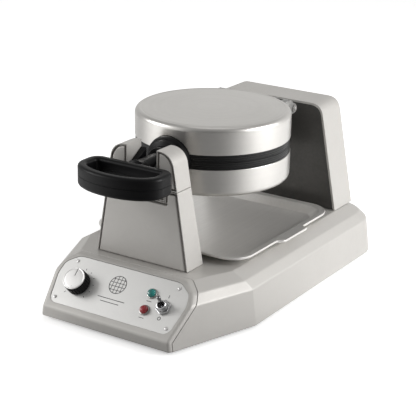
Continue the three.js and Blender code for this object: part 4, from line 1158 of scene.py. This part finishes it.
class WAFFLE_OT_drum(bpy.types.Operator):
    """Spins the two drum shells and the black trim rings round the parting line"""

    bl_idname = "waffle.drum"
    bl_label = "Drum"

    def execute(self, context):
        sizes = context.scene.waffle_sizes
        radius = DRUM_RADIUS
        edge = sizes.drum_edge
        shoulder = DRUM_HALF - sizes.drum_crown
        wall = 2 * MM
        arc_x = radius - edge
        arc_z = shoulder - edge
        outer = [(radius - 0.4 * MM, BAND_HALF), (radius, BAND_HALF + 0.5 * MM)]
        outer += arc(arc_x, arc_z, edge, 0, 84, 9)
        crease = arc_x - 1.4 * MM
        outer += [
            (crease + 0.6 * MM, shoulder - 0.10 * MM),
            (crease + 0.2 * MM, shoulder - 0.32 * MM),
            (crease - 0.3 * MM, shoulder - 0.36 * MM),
            (crease - 0.8 * MM, shoulder - 0.20 * MM),
        ]
        for step in range(0, 13):
            share = 1 - step / 12
            r = (crease - 1.4 * MM) * share
            outer.append((r, shoulder + sizes.drum_crown * (1 - share**2)))
        inner = [(0, DRUM_HALF - wall - sizes.drum_crown)]
        inner += arc(arc_x, arc_z, edge - wall, 90, 0, 5)
        inner.append((radius - wall, BAND_HALF))
        profile = outer[::-1] + [(radius - wall, BAND_HALF)] + inner[::-1][1:]
        shell = turned("drum_shell_upper", profile, AXIS, (0, 0, 1), 144)
        combined(shell, flange_cutters(0.45 * MM))
        rounded(shell, 0.3 * MM, limit=70, segments=2)
        lower = half_turned(copied(shell, "drum_shell_lower"))
        for piece, body, cad in (
            (shell, "lid", "upper_housing"),
            (lower, "drum", "lower_housing"),
        ):
            finish_piece(smoothed(piece, 40), body, "drum", "drum_aluminium", cad)

        outer_r = radius - 0.8 * MM
        top = BAND_HALF - GAP
        grooves = sizes.groove_count
        pitch = (top - PARTING - 1.2 * MM) / grooves
        section = [(outer_r - 0.4 * MM, PARTING), (outer_r, PARTING + 0.5 * MM)]
        for index in range(grooves):
            z = PARTING + 0.6 * MM + pitch * (index + 0.5)
            section += [
                (outer_r, z - 0.45 * MM),
                (outer_r - sizes.groove_depth, z - 0.2 * MM),
                (outer_r - sizes.groove_depth, z + 0.2 * MM),
                (outer_r, z + 0.45 * MM),
            ]
        section += [
            (outer_r, top - 0.4 * MM),
            (outer_r - 0.3 * MM, top),
            (outer_r - 3.4 * MM, top),
            (outer_r - 3.4 * MM, top + 3 * MM),
            (radius - 9.7 * MM, top + 3 * MM),
            (radius - 9.7 * MM, PARTING),
        ]
        band = turned("band_upper", section, AXIS, (0, 0, 1), 144, closed=True)
        combined(band, flange_cutters(GAP))
        lower_band = half_turned(copied(band, "band_lower"))
        for piece, body, cad in (
            (band, "lid", "upper_trim_ring"),
            (lower_band, "drum", "lower_trim_ring"),
        ):
            finish_piece(smoothed(piece, 30), body, "band", "black_phenolic", cad)
        return {"FINISHED"}


class WAFFLE_OT_grids(bpy.types.Operator):
    """Rounds the waffle grids so that their pegs and rims read as cast metal"""

    bl_idname = "waffle.grids"
    bl_label = "Waffle Grids"

    def execute(self, context):
        for half, body in (("upper", "lid"), ("lower", "drum")):
            refine_piece(
                "waffle_grid_" + half, half + "_grid_plate", body, "grid", "grid_cast",
                0.45 * MM, limit=28, segments=2, angle=26,
            )
        return {"FINISHED"}


def ring_outline(inset):
    """The handle's ring, inset from its outer outline, with the same points at every inset."""
    low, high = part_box("upper_handle")
    half_width = high.x - inset
    front = low.y
    back = front + HANDLE_DEPTH - inset
    depth = 33 * MM - inset
    curve_y = front + 33 * MM
    radius = max(15 * MM - inset, 4 * MM)
    points = [
        (half_width * c, curve_y + depth * s) for c, s in arc(0, 0, 1, 180, 360, 48)
    ]
    points += arc(half_width - radius, back - radius, radius, 0, 90, 10)
    for share in (0.2, 0.4, 0.6, 0.8):
        points.append(((half_width - radius) * (1 - 2 * share), back))
    points += arc(-half_width + radius, back - radius, radius, 90, 180, 10)
    return points


class WAFFLE_OT_handle(bpy.types.Operator):
    """Builds the black handle: its rounded ring, and the neck and stepped flange behind it"""

    bl_idname = "waffle.handle"
    bl_label = "Handle"

    def execute(self, context):
        sizes = context.scene.waffle_sizes
        bar = HANDLE_BAR
        corner = sizes.handle_round
        section = []
        for cx, cz, start in (
            (bar - corner, HANDLE_HALF - corner, 0),
            (corner, HANDLE_HALF - corner, 90),
            (corner, -HANDLE_HALF + corner, 180),
            (bar - corner, -HANDLE_HALF + corner, 270),
        ):
            section += arc(cx, cz, corner, start, start + 90, 6)
        loops = []
        for start, end in zip(ring_outline(0), ring_outline(bar)):
            a = Vector((*start, 0))
            b = Vector((*end, 0))
            loop = []
            for depth, height in section:
                spot = a.lerp(b, depth / bar)
                loop.append((spot.x, spot.y, AXIS_Z + height))
            loops.append(loop)
        ring = lofted("handle_ring", loops, ring=True)

        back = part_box("upper_handle")[0].y + HANDLE_DEPTH - DRUM_Y
        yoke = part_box("yoke_front_shell")[0].y - DRUM_Y
        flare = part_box("yoke_rear_shell")[1].y + 4 * MM - DRUM_Y
        face = -DRUM_RADIUS
        neck_profile = [
            (0, back - 5.75 * MM), (10.6 * MM, back - 5.75 * MM), (12.4 * MM, back - 1.5 * MM),
            (14.9 * MM, back + 0.4 * MM), (15.4 * MM, back + 1.2 * MM),
            (15.2 * MM, back + 2.6 * MM), (13.1 * MM, yoke - 3.5 * MM), (12.8 * MM, yoke - 2 * MM),
            (12.8 * MM, flare), (13.6 * MM, flare + 0.5 * MM), (17.4 * MM, flare + 2.2 * MM),
            (17.8 * MM, flare + 3 * MM), (18.4 * MM, flare + 8.6 * MM),
            (19.2 * MM, flare + 9.4 * MM), (22.6 * MM, flare + 10.6 * MM),
            (23.6 * MM, flare + 11.4 * MM), (23.9 * MM, flare + 12.6 * MM),
            (25.2 * MM, face - 5.2 * MM), (26.6 * MM, face - 4.9 * MM),
            (27.6 * MM, face - 4.2 * MM), (28 * MM, face - 3 * MM),
            (28 * MM, -FLANGE_IN), (0, -FLANGE_IN),
        ]
        neck = turned("handle_neck", neck_profile, AXIS, (0, 1, 0), 112)
        combined(ring, [neck], "UNION")
        lower = copied(ring, "grip_lower")
        ring.name = "grip_upper"
        for piece, side, body, cad in (
            (ring, 1, "lid", "upper_handle"),
            (lower, -1, "drum", "lower_handle"),
        ):
            pick(piece)
            bpy.ops.object.mode_set(mode="EDIT")
            bpy.ops.mesh.select_all(action="SELECT")
            bpy.ops.mesh.bisect(
                plane_co=(0, 0, AXIS_Z + side * PARTING),
                plane_no=(0, 0, side),
                use_fill=True,
                clear_inner=True,
            )
            bpy.ops.object.mode_set(mode="OBJECT")
            finish_piece(smoothed(piece, 34), body, "black", "black_phenolic", cad)
        return {"FINISHED"}


class WAFFLE_OT_axle(bpy.types.Operator):
    """Builds the rear axle with its flange, and rounds the hinge brackets and ears"""

    bl_idname = "waffle.axle"
    bl_label = "Axle and Hinge"

    def execute(self, context):
        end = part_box("rear_axle")[1].y - DRUM_Y
        flange_back = DRUM_RADIUS + 5 * MM
        profile = [
            (8.5 * MM, FLANGE_IN), (28 * MM, FLANGE_IN), (28 * MM, flange_back - 1.6 * MM),
            (27.6 * MM, flange_back - 0.6 * MM), (26.6 * MM, flange_back), (20 * MM, flange_back),
            (19 * MM, flange_back - 0.8 * MM), (15 * MM, flange_back - 0.8 * MM),
            (12.4 * MM, flange_back - 0.4 * MM), (12 * MM, flange_back + 0.6 * MM),
            (12 * MM, end - 0.8 * MM), (11.2 * MM, end), (9 * MM, end), (8.5 * MM, end - 0.5 * MM),
        ]
        axle = turned("axle_shaft", profile, AXIS, (0, 1, 0), 96, closed=True)
        finish_piece(smoothed(axle, 32), "drum", "steel", "plain_steel", "rear_axle")
        for name, cad, body in (
            ("hinge_arms", "hinge_bracket", "drum"),
            ("hinge_leaf", "hinge_ears", "lid"),
        ):
            refine_piece(
                name, cad, body, "hinge", "drum_aluminium", 0.7 * MM, limit=40, angle=28
            )
        low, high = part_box("hinge_pin")
        spot = (low + high) / 2
        half = (high.x - low.x) / 2
        profile = [
            (0, -half), (1.9 * MM, -half), (2.6 * MM, -half + 0.7 * MM),
            (2.6 * MM, half - 0.7 * MM), (1.9 * MM, half), (0, half),
        ]
        pin = turned("hinge_rod", profile, spot, (1, 0, 0), 40)
        finish_piece(smoothed(pin, 32), "drum", "steel", "plain_steel", "hinge_pin")
        return {"FINISHED"}


class WAFFLE_OT_tray(bpy.types.Operator):
    """Presses the drip tray: basin, flange, rolled rim and the two side tabs"""

    bl_idname = "waffle.tray"
    bl_label = "Drip Tray"

    def execute(self, context):
        low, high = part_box("drip_tray")
        centre = (low + high) / 2
        reach = 8.0
        half_x = (high.x - low.x) / 2 / MM - reach
        half_y = (high.y - low.y) / 2 / MM
        floor = low.z / MM
        tab_low = 87.5 - half_y
        tab_high = tab_low + 63
        side_steps = [-6, -4, -2, 0, 2, 4, 6, 8]
        stations = [tab_low + s for s in side_steps] + [tab_low + 20, tab_low + 34, tab_low + 48]
        stations += [tab_high - s for s in (6, 4, 2, 0.6)] + [tab_high + 0.6]

        def bulge(y):
            rise = min(1, max(0, (y - (tab_low - 5)) / 11))
            fall = min(1, max(0, (tab_high - y) / 4.5))
            return reach * rise * rise * (3 - 2 * rise) * fall * fall * (3 - 2 * fall)

        def loop(inset, radius, z, tab):
            hx = half_x - inset
            hy = half_y - inset
            right = arc(hx - radius, -hy + radius, radius, -90, 0, 10)
            right += [(hx + bulge(y) * tab, y) for y in stations]
            right += arc(hx - radius, hy - radius, radius, 0, 90, 10)
            points = right + [(-x, y) for x, y in reversed(right)]
            return [(x * MM + centre.x, y * MM + centre.y, (floor + z) * MM) for x, y in points]

        flange = 7.0
        slope = 9.0
        corner = 29.0
        inside = corner - flange + 2
        skin = [
            (flange + slope + 4.2, inside - 8, 1.0, 0), (flange + slope + 2.2, inside - 7, 1.05, 0),
            (flange + slope + 0.6, inside - 6, 1.7, 0), (flange + 2.2, inside - 1, 8.6, 0),
            (flange + 1.0, inside, 9.6, 0), (flange - 0.4, inside + 1, 10.0, 0),
            (3.0, corner - 3, 9.9, 0.75), (1.7, corner - 1.7, 10.0, 1),
            (1.2, corner - 1.2, 10.4, 1), (0.6, corner - 0.6, 10.5, 1), (0.1, corner, 10.1, 1),
            (0.0, corner, 9.2, 1),
            (0.1, corner, 8.0, 1), (0.5, corner - 0.5, 7.5, 1), (1.1, corner - 1, 7.5, 1),
            (1.5, corner - 1.5, 8.2, 1), (1.9, corner - 2, 9.0, 1), (3.2, corner - 3, 9.0, 0.75),
            (flange - 0.2, inside + 1, 9.0, 0), (flange + 0.6, inside, 8.4, 0),
            (flange + slope - 0.4, inside - 6, 0.6, 0), (flange + slope + 1.2, inside - 7, 0.0, 0),
        ]
        tray = lofted("tray_pan", [loop(*row) for row in skin])
        finish_piece(smoothed(tray, 40), "tray", "tray", "tray_steel", "drip_tray")
        return {"FINISHED"}


class WAFFLE_OT_underside(bpy.types.Operator):
    """Builds the rubber feet and the cord bushing, and rounds the base plate"""

    bl_idname = "waffle.underside"
    bl_label = "Underside"

    def execute(self, context):
        for place in ("front_left", "front_right", "rear_left", "rear_right"):
            spot = middle("foot_" + place)
            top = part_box("foot_" + place)[1].z / MM
            profile = [
                (2.3, 2.8), (4.4, 2.8), (4.4, 0.3), (4.8, 0.0), (8.6, 0), (9.6, 0.3), (10, 1.0),
                (9.7, 2.2), (9.0, 3.0), (8.8, 4.0), (8.6, top - 0.2), (8.4, top), (2.3, top),
            ]
            name = "rubber_foot_" + place
            ground = (spot.x, spot.y, 0)
            foot = turned(name, scaled(profile), ground, (0, 0, 1), 56, closed=True)
            finish_piece(smoothed(foot, 34), "base", "rubber", "foot_rubber", "foot_" + place)
        low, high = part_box("cord_bushing")
        spot = (low + high) / 2
        tail = (low.y - spot.y) / MM
        nose = (high.y - spot.y) / MM
        seat = nose - 2.2
        profile = [
            (4.2, tail), (6.7, tail), (7.5, tail + 4), (7.5, seat), (9.2, seat), (9.4, seat + 0.3),
            (9.1, seat + 1.2), (8.2, seat + 1.9), (6.6, nose - 0.05), (5.2, nose),
            (4.5, nose - 0.3), (4.2, nose - 0.9),
        ]
        bushing = turned("cord_sleeve", scaled(profile), spot, (0, 1, 0), 64, closed=True)
        finish_piece(smoothed(bushing, 34), "base", "black", "black_phenolic", "cord_bushing")
        refine_piece(
            "floor_plate", "base_plate", "base", "zinc", "plain_steel", 0.3 * MM, segments=2
        )
        return {"FINISHED"}


CARRIED_FINISHES = {
    "steel": (
        "bearing_bracket", "flip_stop_pin", "axle_collar", "hinge_clip_left", "hinge_clip_right",
        "foot_screw_front_left", "foot_screw_front_right", "foot_screw_rear_left",
        "foot_screw_rear_right", "upper_heating_element", "lower_heating_element",
    ),
    "brass": ("axle_bearing", "thermostat_shaft"),
    "inner": ("thermostat_body", "terminal_block"),
}


class WAFFLE_OT_inner_finishes(bpy.types.Operator):
    """Gives the working parts that stay as they are their metal and plastic finishes"""

    bl_idname = "waffle.inner_finishes"
    bl_label = "Inner Parts"

    def execute(self, context):
        for finish, names in CARRIED_FINISHES.items():
            for name in names:
                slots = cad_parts[name].data.materials
                slots.clear()
                slots.append(FINISHES[finish])
        return {"FINISHED"}


class WAFFLE_OT_finishes(bpy.types.Operator):
    """Builds every finish from the colours in the panel"""

    bl_idname = "waffle.finishes"
    bl_label = "Finishes"

    def execute(self, context):
        make_finishes(context.scene.waffle_colours)
        return {"FINISHED"}


LIT_SPOT = Vector((0, 0, 0.1))


def area_light(name, place, size, power):
    """A square light that shines on the middle of the object."""
    data = bpy.data.lights.new(name, "AREA")
    data.shape = "RECTANGLE"
    data.size = size
    data.size_y = size
    data.energy = power
    obj = bpy.data.objects.new(name, data)
    bpy.context.scene.collection.objects.link(obj)
    aim = (LIT_SPOT - Vector(place)).to_track_quat("-Z", "Y")
    obj.matrix_world = Matrix.Translation(place) @ aim.to_matrix().to_4x4()


class WAFFLE_OT_stage(bpy.types.Operator):
    """Sets the pale floor, the soft studio light and the camera"""

    bl_idname = "waffle.stage"
    bl_label = "Studio"

    def execute(self, context):
        scene = context.scene
        start_alone()
        bpy.ops.mesh.primitive_plane_add(size=12, location=(0, 0, 0))
        floor = bpy.context.object
        floor.name = "studio_floor"
        floor.data.materials.append(FINISHES["floor"])

        world = bpy.data.worlds.new("studio_air")
        world.use_nodes = True
        tree = world.node_tree
        tree.nodes.clear()
        direction = node(tree, "TexCoord").outputs["Generated"]
        parts = node(tree, "SeparateXYZ", {0: direction})
        round_about = use_group(tree, "studio", direction).outputs["Brightness"]
        overhead = spread(tree, parts.outputs["Z"], 0.35, 0.95)
        level = mixed(tree, overhead, round_about, SKY_OVERHEAD)
        seen = node(tree, "LightPath").outputs["Is Camera Ray"]
        sky = node(tree, "Background", {"Strength": mixed(tree, seen, level, SKY_WHITE)})
        sky.inputs["Color"].default_value = (1.0, 0.995, 0.985, 1.0)
        out = node(tree, "OutputWorld", {"Surface": sky.outputs[0]})
        out.is_active_output = True
        scene.world = world

        area_light("key_light", (1.5, 0.5, 0.7), 1.0, 23)
        area_light("front_light", (-1.7, -1.1, 1.0), 0.9, 17)
        area_light("top_light", (-0.1, 0.3, 1.9), 1.2, 2)

        camera = bpy.data.cameras.new("studio_camera")
        camera.sensor_width = 36
        camera.lens = 117.12
        camera.clip_start = 0.01
        eye = bpy.data.objects.new("studio_camera", camera)
        scene.collection.objects.link(eye)
        forward = Vector((-0.50555, 0.79490, -0.33549)).normalized()
        up = Vector((-0.19717, 0.27210, 0.94185)).normalized()
        right = forward.cross(up).normalized()
        up = right.cross(forward)
        turn = Matrix((right, up, -forward)).transposed().to_4x4()
        eye.matrix_world = Matrix.Translation((0.8572, -1.3516, 0.6634)) @ turn
        scene.camera = eye
        scene.view_settings.view_transform = "Standard"
        return {"FINISHED"}


STEPS = (
    WAFFLE_OT_finishes,
    WAFFLE_OT_stage,
    WAFFLE_OT_base,
    WAFFLE_OT_control_plate,
    WAFFLE_OT_knob,
    WAFFLE_OT_lamps,
    WAFFLE_OT_toggle,
    WAFFLE_OT_post,
    WAFFLE_OT_tower,
    WAFFLE_OT_drum,
    WAFFLE_OT_grids,
    WAFFLE_OT_handle,
    WAFFLE_OT_axle,
    WAFFLE_OT_tray,
    WAFFLE_OT_underside,
    WAFFLE_OT_inner_finishes,
)


class WAFFLE_PT_sidebar(bpy.types.Panel):
    """Lists the settings and the steps that build the waffle maker"""

    bl_idname = "WAFFLE_PT_sidebar"
    bl_label = "Waffle Maker"
    bl_space_type = "VIEW_3D"
    bl_region_type = "UI"
    bl_category = "Waffle Maker"

    def draw(self, context):
        layout = self.layout
        for group in (context.scene.waffle_sizes, context.scene.waffle_colours):
            box = layout.box()
            for name in group.bl_rna.properties.keys():
                if name not in {"rna_type", "name"}:
                    box.prop(group, name)
        for step in STEPS:
            layout.operator(step.bl_idname)


CLASSES = (WaffleSizes, WaffleColours, *STEPS, WAFFLE_PT_sidebar)


def register():
    for cls in CLASSES:
        bpy.utils.register_class(cls)
    bpy.types.Scene.waffle_sizes = bpy.props.PointerProperty(type=WaffleSizes)
    bpy.types.Scene.waffle_colours = bpy.props.PointerProperty(type=WaffleColours)


def unregister():
    del bpy.types.Scene.waffle_colours
    del bpy.types.Scene.waffle_sizes
    for cls in reversed(CLASSES):
        bpy.utils.unregister_class(cls)


def main():
    register()
    for step in STEPS:
        operator = getattr(bpy.ops.waffle, step.bl_idname.split(".")[1])
        if operator() != {"FINISHED"}:
            raise RuntimeError(step.bl_idname + " did not finish")


if __name__ == "__main__":
    main()
